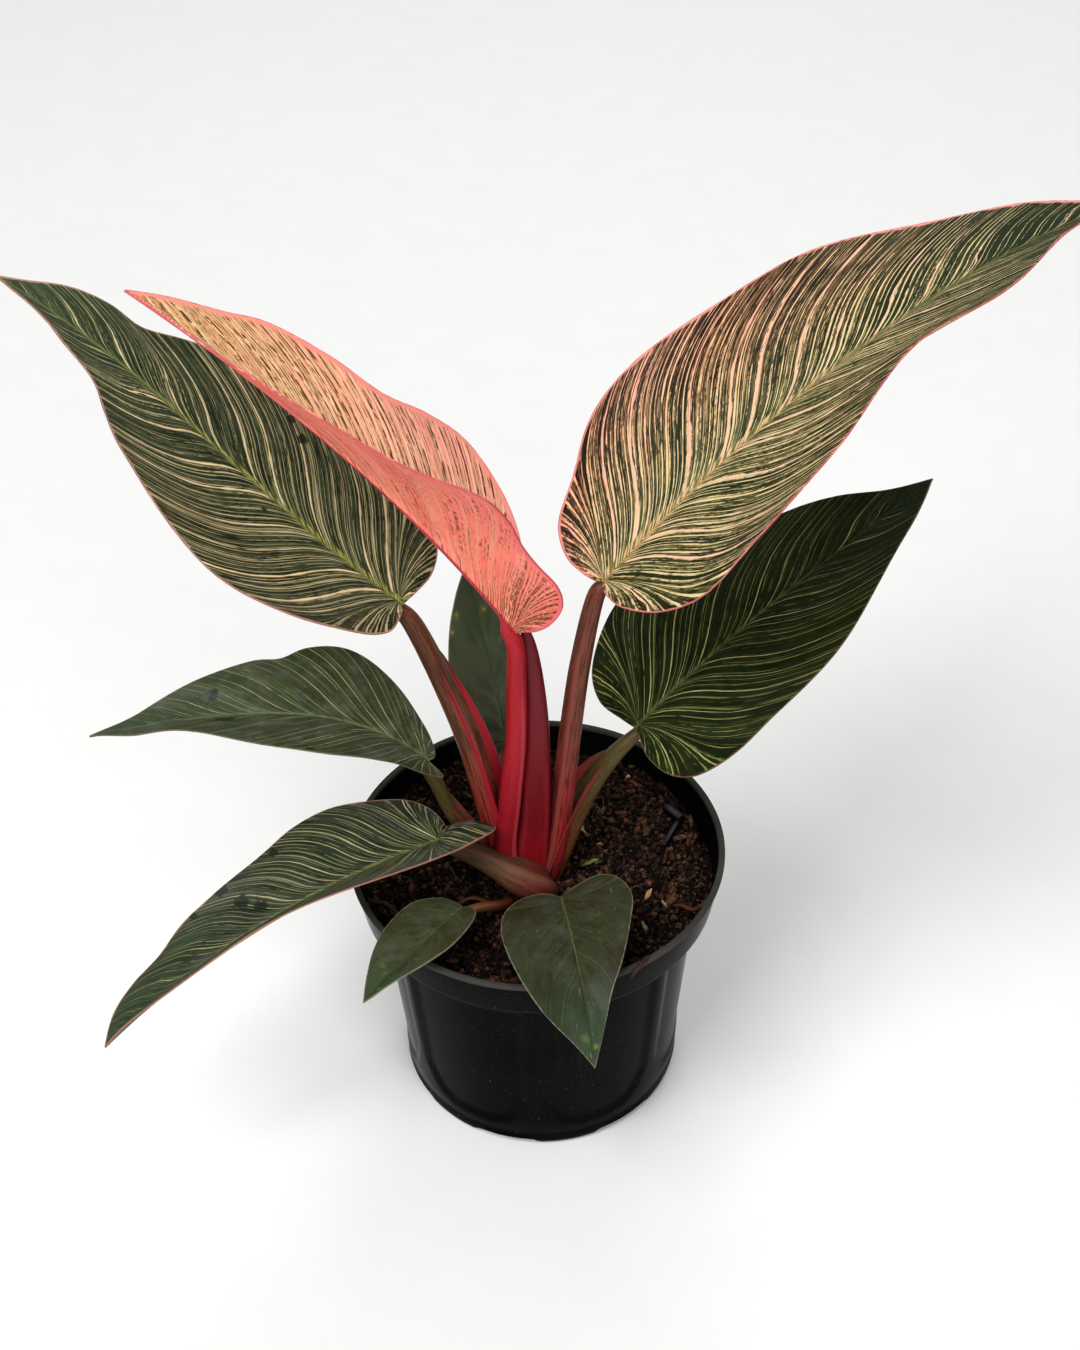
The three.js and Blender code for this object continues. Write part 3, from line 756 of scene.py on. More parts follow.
        # Rows lie closer together near the midrib
        grid = {}
        for vert in bm.verts:
            row = round(vert.co.y * self.rows)
            grid[vert] = (round((vert.co.x + 1) / 2 * last), row, (abs(row) / self.rows) ** 1.5)
        for face in bm.faces:
            side = Side.LEFT if sum(grid[vert][1] for vert in face.verts) > 0 else Side.RIGHT
            for loop in face.loops:
                column, _, v = grid[loop.vert]
                vein = veins[side][column]
                flat = self.vein_point(vein, v)
                loop[vein_map].uv = (vein.across, v)
                loop[flat_map].uv = (flat.x, side.value * flat.y)
        for vert, (column, row, v) in grid.items():
            side = Side.LEFT if row >= 0 else Side.RIGHT
            half = halves[side]
            vein = veins[side][column]
            flat = self.vein_point(vein, v)
            origin, up = spine.at(flat.x)
            lean = math.radians(along(half.lean, flat.x / self.length))
            share = min(1.0, max(0.0, flat.x / self.length))
            rib_size = (1 - 0.85 * share) * min(1.0, self.length / 120)
            dip = self.groove * rib_size * hill(flat.y, 0.9 * rib_size)
            lift = self.lift(vein, v) - dip
            out = flat.y * math.cos(lean) - lift * math.sin(lean)
            vert.co = origin + spine.side * (side.value * out)
            vert.co += up * (flat.y * math.sin(lean) + lift * math.cos(lean))
            vert[margin_layer] = margins[side].find((flat.x, flat.y, 0))[2]
            vert[keel_layer] = up * (-self.keel * rib_size * hill(flat.y, 1.5 * rib_size + 0.2))
        bmesh.ops.remove_doubles(bm, verts=bm.verts, dist=0.004)
        bm.normal_update()
        top = set(bm.verts)
        bmesh.ops.solidify(bm, geom=bm.faces[:], thickness=self.thickness)
        for face in bm.faces:
            if all(vert not in top for vert in face.verts):
                face.material_index = Face.UNDER.value
        bm.normal_update()
        for vert in bm.verts:
            if vert not in top:
                vert.co += vert[keel_layer]
        wide = max(p[1] for half in halves.values() for p in half.edge)
        skins = [
            self.upper.material(f"{self.name}_upper_skin", self.length, wide),
            self.under.material(f"{self.name}_under_skin", self.length, wide),
        ]
        settle(bm, f"leaf_{self.name}", skins, [f"blade_{self.name}"], sharp=60)


@dataclass(frozen=True)
class StalkSkin:
    """Firm, slightly glossy stalk skin with fine fibres running along it."""

    foot: str  # colours from the foot of the stalk to its top
    middle: str
    top: str
    streak: str
    streak_share: float
    edge: str  # colour along the rims of the channel
    roughness: float = 0.4

    def material(self, name: str, length: float, girth: float, rim_end: float) -> bpy.types.Material:
        """Makes the skin for a stalk.

        Args:
            name: Name of the material.
            length: Length of the stalk in millimetres.
            girth: Its girth in millimetres.
            rim_end: Share of the length where the coloured rims of its channel end.

        Returns:
            The material.
        """
        graph = Graph(name)
        skin = graph.add("UVMap", {"uv_map": "Skin"})
        around = graph.add("SeparateXYZ", None, {0: skin})
        share = around.node.outputs[1]
        lower = graph.add("MapRange", SMOOTH, {0: share, 1: 0.1, 2: 0.36})
        upper = graph.add("MapRange", SMOOTH, {0: share, 1: 0.45, 2: 0.95})
        # Fibres 0.8 mm wide and 10 mm long, and blotches of 7 mm by 26 mm
        fibres = graph.add("Mapping", None, {0: skin, "Scale": (girth / 0.8, length / 10, 1)})
        grain = graph.add("TexNoise", None, {0: fibres, "Scale": 1, "Detail": 3, "Roughness": 0.6})
        blotch = graph.add("Mapping", None, {0: skin, "Scale": (girth / 7, length / 26, 1)})
        cloud = graph.add("TexNoise", None, {0: blotch, "Scale": 1, "Detail": 3})
        limit = 0.66 - 0.3 * self.streak_share
        fine = graph.add("MapRange", SMOOTH, {0: grain, 1: limit, 2: limit + 0.14, 4: 0.85})
        broad = graph.add("MapRange", SMOOTH, {0: cloud, 1: limit, 2: limit + 0.2, 4: 0.5})
        rims = []
        for centre in ((180 - RIM_ANGLE) / 360, (180 + RIM_ANGLE) / 360):
            off = graph.add("Math", {"operation": "SUBTRACT"}, {0: around, 1: centre})
            off = graph.add("Math", {"operation": "ABSOLUTE"}, {0: off})
            rims.append(graph.add("MapRange", SMOOTH, {0: off, 1: 0.05, 2: 0.015}))
        rim = graph.add("Math", {"operation": "MAXIMUM"}, {0: rims[0], 1: rims[1]})
        ends = graph.add("MapRange", SMOOTH, {0: share, 1: rim_end, 2: 0.8 * rim_end, 4: 0.85})
        layers = [
            (linear(self.middle), lower),
            (linear(self.top), upper),
            (linear(self.streak), fine),
            (linear(self.streak), broad),
            (linear(self.edge), graph.product([rim, ends])),
        ]
        bump = graph.add("Bump", None, {"Height": grain, "Distance": 0.12 * MM, "Strength": 0.7})
        shine = {0: cloud, 1: 0.3, 2: 0.7, 3: self.roughness - 0.08, 4: self.roughness + 0.1}
        surface = {
            "Base Color": graph.layered(linear(self.foot), layers),
            "Roughness": graph.add("MapRange", None, shine),
            "Normal": bump,
            "IOR": 1.45,
            "Specular IOR Level": 0.25,
        }
        return graph.finish(surface)


@dataclass
class Stalk:
    """A petiole, sheath or root through [x, y, z, width] stations, with a channel along its upper side."""

    name: str
    stations: tuple[Station, ...]
    heading: float  # compass direction that it leans towards
    skin: StalkSkin
    node: str | None  # the CAD node that it stands for
    slot: str
    flat: float = 0.9  # height of its section, as a share of the width
    channel: float = 0.0  # depth of the channel at the foot, as a share of the half width
    channel_end: float = 0.5  # share of the length where the channel has run out
    wing: float = 0.0  # height of the thin wings on the channel's rims, as a share of the half width
    wing_end: float = 0.6  # share of the length where the wings end in free tips
    sides: int = 80
    rings: int = 120

    ENDING = 1.5  # millimetres over which the ends close
    MEASURES = 20  # straight pieces that the length is summed from

    def section(self, angle: float, t: float) -> float:
        """Gives the radius of the section, as a share of its half width.

        Args:
            angle: Direction round the stalk, 90 at the middle of the channel.
            t: Share of the length.

        Returns:
            The radius.
        """
        depth = self.channel * (1 - ease(0.35 * self.channel_end, self.channel_end, t))
        rims = hill(angle - 90 + RIM_ANGLE, 13) + hill(angle - 90 - RIM_ANGLE, 13)
        blades = hill(angle - 90 + RIM_ANGLE, 5) + hill(angle - 90 - RIM_ANGLE, 5)
        height = self.wing * math.sqrt(max(0.0, 1 - (t / self.wing_end) ** 3))
        ribs = 0.01 * math.cos(math.radians(angle * 13)) * (1 - t)
        return 1 + depth * (0.3 * rims - hill(angle - 90, 27)) + height * blades + ribs

    def build(self) -> None:
        """Builds the stalk as a closed tube that tapers in at both ends."""
        lists = list(zip(*self.stations))
        course = math.radians(self.heading)
        side = Vector((-math.sin(course), math.cos(course), 0))

        def middle(t: float) -> Vector:
            """Gives the middle of the section at a share of the length."""
            return Vector([along(values, t) for values in lists[:3]])

        bm = bmesh.new()
        skin_map = bm.loops.layers.uv.new("Skin")
        bmesh.ops.create_grid(bm, x_segments=self.sides, y_segments=self.rings, size=1)
        for face in bm.faces:
            for loop in face.loops:
                loop[skin_map].uv = ((loop.vert.co.x + 1) / 2, (loop.vert.co.y + 1) / 2)
        pieces = self.MEASURES
        length = sum((middle(i / pieces) - middle((i + 1) / pieces)).length for i in range(pieces))
        for vert in bm.verts:
            t = (vert.co.y + 1) / 2
            angle = -90 + 180 * (vert.co.x + 1)
            forward = (middle(min(1, t + 0.01)) - middle(max(0, t - 0.01))).normalized()
            up = forward.cross(side).normalized()
            across = up.cross(forward)
            closing = math.sqrt(max(0.0, 1 - max(0, 1 - min(t, 1 - t) * length / self.ENDING) ** 2))
            turned = math.radians(angle)
            reach = along(lists[3], t) / 2 * self.section(angle, t) * closing
            vert.co = middle(t) + across * (reach * math.cos(turned))
            vert.co += up * (reach * self.flat * math.sin(turned))
        bmesh.ops.remove_doubles(bm, verts=bm.verts, dist=0.003)
        bmesh.ops.recalc_face_normals(bm, faces=bm.faces)
        girth = math.pi * max(lists[3])
        rim_end = self.wing_end if self.wing else self.channel_end
        skin = self.skin.material(f"{self.name}_skin", length, girth, rim_end)
        settle(bm, self.name, [skin], [self.node] if self.node else [], sharp=70)


@dataclass
class Leaf:
    """A blade on its petiole, whose foot stands in the crown."""

    blade: Blade
    petiole: tuple[Station, ...]
    skin: StalkSkin
    channel: float = 0.2
    wing: float = 0.0
    wing_end: float = 0.6
    # Width of the petiole's run under the midrib, at shares of the blade's length
    run_on: tuple[tuple[float, float], ...] = ((0.05, 0.8), (0.13, 0.6), (0.25, 0.4), (0.42, 0.2))

    LARGE = 100  # length of blade from which the petiole is flattened and channelled

    def build(self) -> None:
        """Builds the blade, and the petiole with its run under the midrib."""
        self.blade.build()
        blade = self.blade
        spine = Spine(blade.junction, blade.heading, blade.rise, blade.length)
        stations = list(self.petiole[:-1])
        top = self.petiole[-1][3]
        for share, size in ((0, 0.9), *self.run_on):
            width = top * size
            origin, up = spine.at(share * blade.length)
            below = origin - up * (0.46 * width + blade.thickness + blade.groove)
            stations.append((*below, width))
        large = blade.length > self.LARGE
        Stalk(
            f"stalk_{blade.name}",
            tuple(stations),
            blade.heading,
            self.skin,
            f"petiole_{blade.name}",
            f"stalk_{blade.name}",
            flat=0.9 if large else 1.0,
            channel=self.channel if large else 0.0,
            wing=self.wing,
            wing_end=self.wing_end,
            sides=120 if self.wing else 80,
        ).build()


@dataclass
class Crown:
    """The short woody stem foot that all the stalks come out of, ringed by old leaf scars."""

    x: float = -3
    y: float = -1
    radius: float = 9
    top: float = 96
    foot: float = 76
    scars: int = 5
    steps: int = 40
    spokes: int = 72

    def material(self) -> bpy.types.Material:
        """Makes corky stem skin: dull, brown-red, with paler rings where old leaves sat.

        Returns:
            The material.
        """
        graph = Graph("corky_stem_skin")
        place = graph.add("TexCoord", output="Object")
        # Cork grain of 2.4 mm, and rings about 2 mm apart
        rough = graph.add("TexNoise", None, {0: place, "Scale": 420, "Detail": 6, "Roughness": 0.7})
        rings = graph.add("Mapping", None, {0: place, "Scale": (60, 60, 520)})
        bands = graph.add("TexNoise", None, {0: rings, "Scale": 1, "Detail": 3})
        pale = graph.add("MapRange", None, {0: bands, 1: 0.5, 2: 0.62, 4: 0.7})
        dark = graph.add("MapRange", None, {0: rough, 1: 0.52, 2: 0.64, 4: 0.8})
        colour = graph.layered(linear("5d3328"), [(linear("8a6a48"), pale), (linear("2b1812"), dark)])
        bump = graph.add("Bump", None, {"Height": rough, "Distance": 0.5 * MM, "Strength": 0.9})
        return graph.finish({"Base Color": colour, "Roughness": 0.75, "Normal": bump})

    def build(self) -> None:
        """Spins the crown's profile, which is domed above its middle, and roughens it."""
        bm = bmesh.new()
        profile = [Vector((0, 0, self.foot))]
        for i in range(self.steps + 1):
            t = i / self.steps
            dome = math.sqrt(max(0.0, 1 - max(0, t - 0.45) ** 2 / 0.3025))
            radius = self.radius * (0.72 + 0.28 * ease(0, 0.3, t)) * dome
            radius *= 1 + 0.05 * math.cos(2 * math.pi * self.scars * t)
            profile.append(Vector((radius, 0, self.foot + (self.top + 1 - self.foot) * t)))
        profile[-1].x = 0
        spin_profile(bm, profile, self.spokes)
        for vert in bm.verts:
            push = 0.5 * noise.noise(vert.co * 0.3) + 0.25 * noise.noise(vert.co * 0.9)
            vert.co += vert.co.normalized() * push
        bmesh.ops.translate(bm, vec=(self.x, self.y, 0), verts=bm.verts)
        settle(bm, "stem_crown", [self.material()], ["crown"])


def spin_profile(bm: bmesh.types.BMesh, profile: Sequence[Vector], steps: int) -> None:
    """Spins a profile once round the Z axis into a closed body.

    Args:
        bm: The mesh to add it to.
        profile: Points from the axis back to the axis.
        steps: Number of steps round.
    """
    verts = [bm.verts.new(point) for point in profile]
    edges = [bm.edges.new(pair) for pair in zip(verts, verts[1:])]
    bmesh.ops.spin(
        bm,
        geom=verts + edges,
        axis=UP,
        cent=(0, 0, 0),
        angle=2 * math.pi,
        steps=steps,
        use_merge=True,
    )
    bmesh.ops.remove_doubles(bm, verts=bm.verts, dist=0.005)
    bmesh.ops.recalc_face_normals(bm, faces=bm.faces)


@dataclass
class Pot:
    """A thin moulded nursery pot with a stepped rim band, arched side panels and a footed base."""

    rim_radius: float = 65
    height: float = 102
    band_foot: float = 86
    band_radius: float = 62.1
    body_radius: float = 57
    foot_radius: float = 49.5
    wall: float = 1.3
    base: float = 4
    feet: int = 7
    notch_width: float = 22
    notch_height: float = 2
    first_notch: float = 254
    drain_radius: float = 4.5
    drain_circle: float = 33  # radius of the circle that the drain holes lie on
    panels: int = 7
    first_panel: float = 241
    panel_depth: float = 1.0
    panel_foot: float = 9
    steps: int = 210

    WALL_RINGS = 56  # rings of the body between its foot and its band

    def material(self) -> bpy.types.Material:
        """Makes moulded black polypropylene: smooth and glossy, scuffed and dusty from the nursery.

        Returns:
            The material.
        """
        graph = Graph("moulded_polypropylene")
        place = graph.add("TexCoord", output="Object")
        # Dried drips 4 mm wide and 45 mm long, clouds of haze of 45 mm, specks of 0.7 mm
        drips = graph.add("Mapping", None, {0: place, "Scale": (260, 260, 22)})
        streaks = graph.add("TexNoise", None, {0: drips, "Scale": 1, "Detail": 5, "Roughness": 0.7})
        haze = graph.add("TexNoise", None, {0: place, "Scale": 22, "Detail": 5, "Roughness": 0.6})
        specks = graph.add("TexNoise", None, {0: place, "Scale": 1400, "Detail": 2})
        wipe = graph.add("MapRange", None, {0: haze, 1: 0.42, 2: 0.7, 4: 0.16})
        run = graph.add("MapRange", None, {0: streaks, 1: 0.6, 2: 0.75, 4: 0.5})
        grit = graph.add("MapRange", None, {0: specks, 1: 0.72, 2: 0.77, 4: 0.5})
        height = graph.add("SeparateXYZ", None, {0: place}, output=2)
        low, high = (self.height - 1.5) * MM, (self.height - 0.9) * MM
        lip = graph.add("MapRange", None, {0: height, 1: low, 2: high})
        worn = graph.add("MapRange", None, {0: haze, 1: 0.3, 2: 0.6, 3: 0.45, 4: 0.9})
        layers = [
            (linear("222324"), wipe),
            (linear("4a4237"), graph.product([run, wipe, 2.0])),
            (linear("42413d"), graph.product([lip, worn])),
            (linear("8f8778"), grit),
        ]
        shine = graph.add("MapRange", None, {0: haze, 1: 0.3, 2: 0.7, 3: 0.12, 4: 0.3})
        # The moulded wall is wavy over about 17 mm, which breaks up its reflections
        ripple = graph.add("TexNoise", None, {0: place, "Scale": 60, "Detail": 2})
        bump = graph.add("Bump", None, {"Height": ripple, "Distance": 0.15 * MM, "Strength": 0.5})
        surface = {
            "Base Color": graph.layered(linear("030404"), layers),
            "Roughness": shine,
            "Normal": bump,
            "IOR": 1.35,
            "Specular IOR Level": 0.025,
        }
        return graph.finish(surface)

    def profile(self) -> list[Vector]:
        """Gives the half section of the pot.

        Returns:
            Points from the middle of its underside round to the middle of its floor.
        """
        foot, body, band, rim = self.foot_radius, self.body_radius, self.band_radius, self.rim_radius
        # The underside with its centre boss, and the ring that the pot stands on
        points = [(0, 0), (11.4, 0), (12, 0.3), (13, 2.6), (foot - 5, 2.6), (foot - 4, 0.4)]
        points += [(foot - 3.6, 0), (foot - 1.2, 0), (foot - 0.4, 0.35), (foot + 0.3, 1.2), (foot + 0.7, 3)]
        low, high = 5, self.band_foot - 2.2
        slope = (body - foot - 1.3) / (self.band_foot - 14)
        for i in range(self.WALL_RINGS + 1):
            z = low + (high - low) * i / self.WALL_RINGS
            points.append((foot + 1.3 + slope * (z - 13) - 0.35 * hill(z - low, 4), z))
        # The step under the band, the band, the rounded rim, and back down the inside
        points += [
            (body + 0.3, self.band_foot - 1.4),
            (body + 1.2, self.band_foot - 0.7),
            (band - 1.1, self.band_foot - 0.25),
            (band - 0.4, self.band_foot),
            (band - 0.05, self.band_foot + 0.5),
            (band + 0.05, self.band_foot + 1.4),
            (band + 0.9, self.band_foot + 6),
            (rim - 1.15, self.height - 2.2),
            (rim - 0.75, self.height - 1.9),
            (rim - 0.15, self.height - 1.5),
            (rim, self.height - 1.1),
            (rim, self.height - 0.4),
            (rim - 0.25, self.height - 0.1),
            (rim - 0.6, self.height),
            (rim - 1.7, self.height),
            (rim - 2.1, self.height - 0.3),
            (rim - 2.35, self.height - 2),
            (band - self.wall + 0.2, self.band_foot + 5),
            (band - self.wall, self.band_foot + 1.6),
            (body - self.wall, self.band_foot - 0.8),
            (foot + 1.3 - self.wall, 14),
            (foot + 0.2 - self.wall, self.base + 0.5),
            (foot - 0.5 - self.wall, self.base),
            (0, self.base),
        ]
        return [Vector((r, 0, z)) for r, z in points]

    def recess(self, angle: float, z: float) -> float:
        """Gives the depth of the arched panels at a place on the outer wall.

        Args:
            angle: Compass direction.
            z: Height.

        Returns:
            How far the wall stands back there.
        """
        pitch = 360 / self.panels
        off = abs((angle - self.first_panel + pitch / 2) % pitch - pitch / 2) / (pitch / 2)
        arch = self.panel_foot + 15 * (off / 0.86) ** 4
        sides = ease(0.93, 0.8, off)
        top = ease(self.band_foot - 3, self.band_foot - 8, z)
        return self.panel_depth * sides * ease(arch, arch + 5, z) * top

    def press(self, bm: bmesh.types.BMesh) -> None:
        """Presses the panels into the outer wall and the notches into the foot.

        Args:
            bm: The plain pot.
        """
        pitch = 360 / self.feet
        half_notch = self.notch_width / 2
        for vert in bm.verts:
            radius = math.hypot(vert.co.x, vert.co.y)
            angle = math.degrees(math.atan2(vert.co.y, vert.co.x))
            z = vert.co.z
            outer = self.foot_radius + 0.6 + (z - 13) * 0.07
            if 4 < z < self.band_foot - 1 and radius > outer:
                scale = 1 - self.recess(angle, z) / radius
                vert.co.x *= scale
                vert.co.y *= scale
            if z < 3 and radius > self.foot_radius - 6:
                off = abs((angle - self.first_notch + pitch / 2) % pitch - pitch / 2)
                off *= math.pi / 180 * self.foot_radius
                lift = self.notch_height * ease(half_notch + 1.5, half_notch - 1.5, off)
                vert.co.z += lift * (1 - z / 3)

    def drain_pegs(self) -> bmesh.types.BMesh:
        """Makes the round pegs that cut the drain holes.

        Returns:
            A mesh of the pegs.
        """
        pegs = bmesh.new()
        for i in range(self.feet):
            turn = 2 * math.pi * i / self.feet
            at = Vector((self.drain_circle * math.cos(turn), self.drain_circle * math.sin(turn), self.base))
            bmesh.ops.create_cone(
                pegs,
                cap_ends=True,
                segments=32,
                radius1=self.drain_radius,
                radius2=self.drain_radius,
                depth=12,
                matrix=Matrix.Translation(at),
            )
        return pegs

    def build(self) -> None:
        """Spins the pot, presses in its panels and foot notches, and cuts its drain holes."""
        plain = bmesh.new()
        spin_profile(plain, self.profile(), self.steps)
        self.press(plain)
        parts = []
        for name, bm in (("drain_holes", self.drain_pegs()), ("pot_body", plain)):
            mesh = bpy.data.meshes.new(name)
            bm.to_mesh(mesh)
            bm.free()
            parts.append(bpy.data.objects.new(name, mesh))
            bpy.context.scene.collection.objects.link(parts[-1])
        tool, body = parts
        cut = body.modifiers.new("drain_holes", "BOOLEAN")
        cut.operation = "DIFFERENCE"
        cut.object = tool
        cut.solver = "EXACT"
        bm = bmesh.new()
        bm.from_object(body, bpy.context.evaluated_depsgraph_get())
        for part in (body, tool):
            bpy.data.objects.remove(part)
        settle(bm, "nursery_pot", [self.material()], ["pot"], sharp=42)


class Crumb(Enum):
    """Material index of each thing that the potting mix is made of."""

    PEAT = 0
    BARK = 1
    FIBRE = 2
    GRIT = 3
    HUSK = 4
    SCRAP = 5


class Bit(NamedTuple):
    """A bit that lies on the peat where the eye notices it."""

    kind: Crumb
    x: float
    y: float
    rise: float  # of its middle above the peat
    size: Point
    turn: float
    tilt: float = 0.0


BITS = (
    Bit(Crumb.HUSK, 22.4, 13.7, 1.0, (1.5, 0.8, 0.6), 20),
    Bit(Crumb.HUSK, 33.7, 44.2, 0.9, (1.3, 0.9, 0.6), 70),
    Bit(Crumb.HUSK, 38.0, -12.6, 1.0, (2.6, 0.8, 0.5), 62, 20),
    Bit(Crumb.HUSK, 13.5, 16.4, 0.8, (1.1, 0.6, 0.4), 130),
    Bit(Crumb.BARK, 51.5, 25.0, 1.4, (2.8, 0.9, 0.6), -20, 10),
    Bit(Crumb.BARK, 55.2, 20.0, 1.8, (3.0, 0.8, 0.6), 98, 24),
    Bit(Crumb.BARK, 56.4, 15.5, 1.6, (2.6, 0.9, 0.5), 75, -20),
    Bit(Crumb.BARK, 54.0, 12.5, 1.2, (3.0, 0.8, 0.6), 70, 8),
    Bit(Crumb.BARK, 51.0, 12.5, 1.0, (3.0, 1.0, 0.6), 12),
    Bit(Crumb.BARK, 46.0, -16.0, 0.9, (2.8, 1.6, 0.8), 40),
    Bit(Crumb.BARK, -43.8, -10.5, 1.6, (3.4, 0.8, 0.6), 86, 38),
    Bit(Crumb.SCRAP, 18.2, 0.6, 0.9, (3.0, 0.8, 0.25), 24, 8),
    Bit(Crumb.SCRAP, 20.6, 2.0, 1.2, (1.2, 0.7, 0.2), 70, 30),
)


@dataclass
class Soil:
    """Peat potting mix: a lumpy bed strewn with crumbs, bark chips, fibres and grit."""

    pot: Pot
    top: float = 90.2
    lumps: float = 1.3
    fall: float = 0.012  # slope down towards the back right
    bank: float = 3.0  # how much higher the bed lies at the back
    rings: int = 130
    skirt: int = 8  # rings of the bed's side and underside
    spokes: int = 400
    crumbs: int = 9300
    chips: int = 120
    fibres: int = 130
    seed: int = 41

    def height(self, x: float, y: float) -> float:
        """Gives the height of the bed without its crumbs.

        Args:
            x: Place from left to right.
            y: Place from front to back.

        Returns:
            The height.
        """
        lumps = math.sin(0.31 * x + 1.3) * math.cos(0.27 * y)
        lumps += 0.7 * math.sin(0.17 * x - 0.38 * y + 0.6)
        lumps += 0.5 * math.cos(0.61 * x + 0.45 * y)
        calm = 1 - 0.7 * (math.hypot(x, y) / self.pot.band_radius) ** 4
        return self.top + self.lumps * lumps * calm - self.fall * max(0, x + y) + self.bank * ease(5, 50, y)

    def surface(self, x: float, y: float) -> float:
        """Gives the height of the bed with the lumps of its crumbs.

        Args:
            x: Place from left to right.
            y: Place from front to back.

        Returns:
            The height.
        """
        at = Vector((x, y, 0))
        coarse = noise.noise(at * 0.2 + Vector((7, 3, 1)))
        middle = noise.noise(at * 0.5 + Vector((1, 9, 4)))
        fine = abs(noise.noise(at * 0.9 + Vector((5, 2, 8))))
        return self.height(x, y) + 1.7 * coarse + 1.7 * middle + 1.6 * fine - 1.2

    def materials(self) -> list[bpy.types.Material]:
        """Makes damp peat and what is mixed into it.

        Each is painted near black where its Relief is low and paler where it is high. On the crumbs Relief
        follows their height, which paints shade down in the gaps and light on their tops; on the bed it is
        a random tone. The grain, of 0.8 to 1.7 mm, is coarser than real peat dust, which would not show.

        Returns:
            Peat, bark, root fibre, grit, husk and leaf scrap, in the order of the crumb kinds.
        """
        # Each kind: its ground colour, a paler colour painted on the tops as light, a near-black colour
        # painted in the gaps as shade, the grain's scale and the roughness
        kinds = {
            "damp_peat": ("22140d", "6a4632", "030201", 1100, 0.9),
            "pine_bark": ("3a2218", "6c4632", "120805", 700, 0.85),
            "root_fibre": ("6a4a30", "94714c", "2a180e", 900, 0.75),
            "mineral_grit": ("6f6456", "a39a8c", "30281f", 1200, 0.7),
            "oat_husk": ("9a7248", "d0a672", "4a3018", 900, 0.7),
            "leaf_scrap": ("48522a", "7c8458", "22280f", 600, 0.7),
        }
        made = []
        for name, (ground, light, dark, scale, roughness) in kinds.items():
            graph = Graph(name)
            place = graph.add("TexCoord", output="Object")
            grain = graph.add("TexNoise", None, {0: place, "Scale": scale, "Detail": 5, "Roughness": 0.7})
            relief = graph.add("Attribute", {"attribute_name": "Relief"}, output="Fac")
            # Painted light: paler where Relief is high, on the tops
            top = graph.add("MapRange", None, {0: relief, 1: 0.45, 2: 0.95})
            pale = graph.product([graph.add("MapRange", None, {0: grain, 1: 0.42, 2: 0.6, 4: 1.0}), top])
            # Painted shade: near black where Relief is low, down in the gaps
            painted_gap_shade = graph.add("MapRange", None, {0: relief, 1: 0.62, 2: 0.3})
            bump = graph.add("Bump", None, {"Height": grain, "Distance": 0.5 * MM, "Strength": 1.0})
            surface = {
                "Base Color": graph.layered(linear(ground), [(linear(light), pale), (linear(dark), painted_gap_shade)]),
                "Roughness": roughness,
                "Normal": bump,
                "Specular IOR Level": 0.12,
            }
            made.append(graph.finish(surface))
        return made

    def build(self) -> None:
        """Builds the bed and what lies on it."""
        materials = self.materials()
        self.build_bed(materials)
        self.build_crumbs(materials)

    def build_bed(self, materials: Sequence[bpy.types.Material]) -> None:
        """Builds the bed as a closed body that fills the top of the pot.

        Args:
            materials: The materials of the potting mix.
        """
        bm = bmesh.new()
        relief = bm.verts.layers.float.new("Relief")
        bmesh.ops.create_grid(bm, x_segments=self.spokes, y_segments=self.rings, size=1)
        reach = self.pot.band_radius + 0.45 - self.pot.wall
        inner = self.rings - self.skirt
        for vert in bm.verts:
            turn = math.pi * (vert.co.x + 1)
            ring = round((vert.co.y + 1) / 2 * self.rings)
            radius = reach * min(1, ring / inner) ** 0.85
            if ring > inner:
                radius = reach - (ring - inner) * reach / self.skirt
            x, y = radius * math.cos(turn), radius * math.sin(turn)
            z = self.surface(x, y) if ring <= inner else self.pot.band_foot - 8
            if ring == inner + 1:
                x, y = x * 0.8 / (1 - 1 / self.skirt), y * 0.8 / (1 - 1 / self.skirt)
            vert.co = (x, y, z)
            # A random tone for the bed, which the peat material paints near black where low and pale where
            # high
            coarse, fine = Vector((x, y, 3)) * 0.8, Vector((x, y, 5)) * 1.7
            vert[relief] = 0.35 + 0.6 * noise.noise(coarse) + 0.4 * noise.noise(fine)
        bmesh.ops.remove_doubles(bm, verts=bm.verts, dist=0.003)
        bmesh.ops.recalc_face_normals(bm, faces=bm.faces)
        settle(bm, "peat_bed", materials[:1], ["soil"], sharp=80)

    def build_crumbs(self, materials: Sequence[bpy.types.Material]) -> None:
        """Strews crumbs, chips, fibres and the bits that the eye notices over the bed.

        Args:
            materials: The materials of the potting mix.
        """
        rng = random.Random(self.seed)
        bm = bmesh.new()
        relief = bm.verts.layers.float.new("Relief")
        reach = self.pot.band_radius - self.pot.wall - 1.5

        def spot(rise: float, length: float = 0.0) -> Vector:
            """Draws a place on the bed.

            Args:
                rise: Height above the bed.
                length: Room to leave to the wall.

            Returns:
                The place.
            """
            radius = (reach - length) * math.sqrt(rng.random())
            turn = rng.uniform(0, 2 * math.pi)
            x, y = radius * math.cos(turn), radius * math.sin(turn)
            return Vector((x, y, self.surface(x, y) + rise))

        # Three plain lumps for crumbs and fibres, and three finer ones for chips and bits
        lumps = []
        for subdivisions in (1, 1, 1, 2, 2, 2):
            lump = bmesh.new()
            bmesh.ops.create_icosphere(lump, subdivisions=subdivisions, radius=1)
            shift = Vector((5 * len(lumps), 0, 0))
            for vert in lump.verts:
                vert.co *= 1 + 0.55 * noise.noise(vert.co * 1.3 + shift)
            lumps.append(bpy.data.meshes.new("crumb"))
            lump.to_mesh(lumps[-1])
            lump.free()
        plain, fine = lumps[:3], lumps[3:]

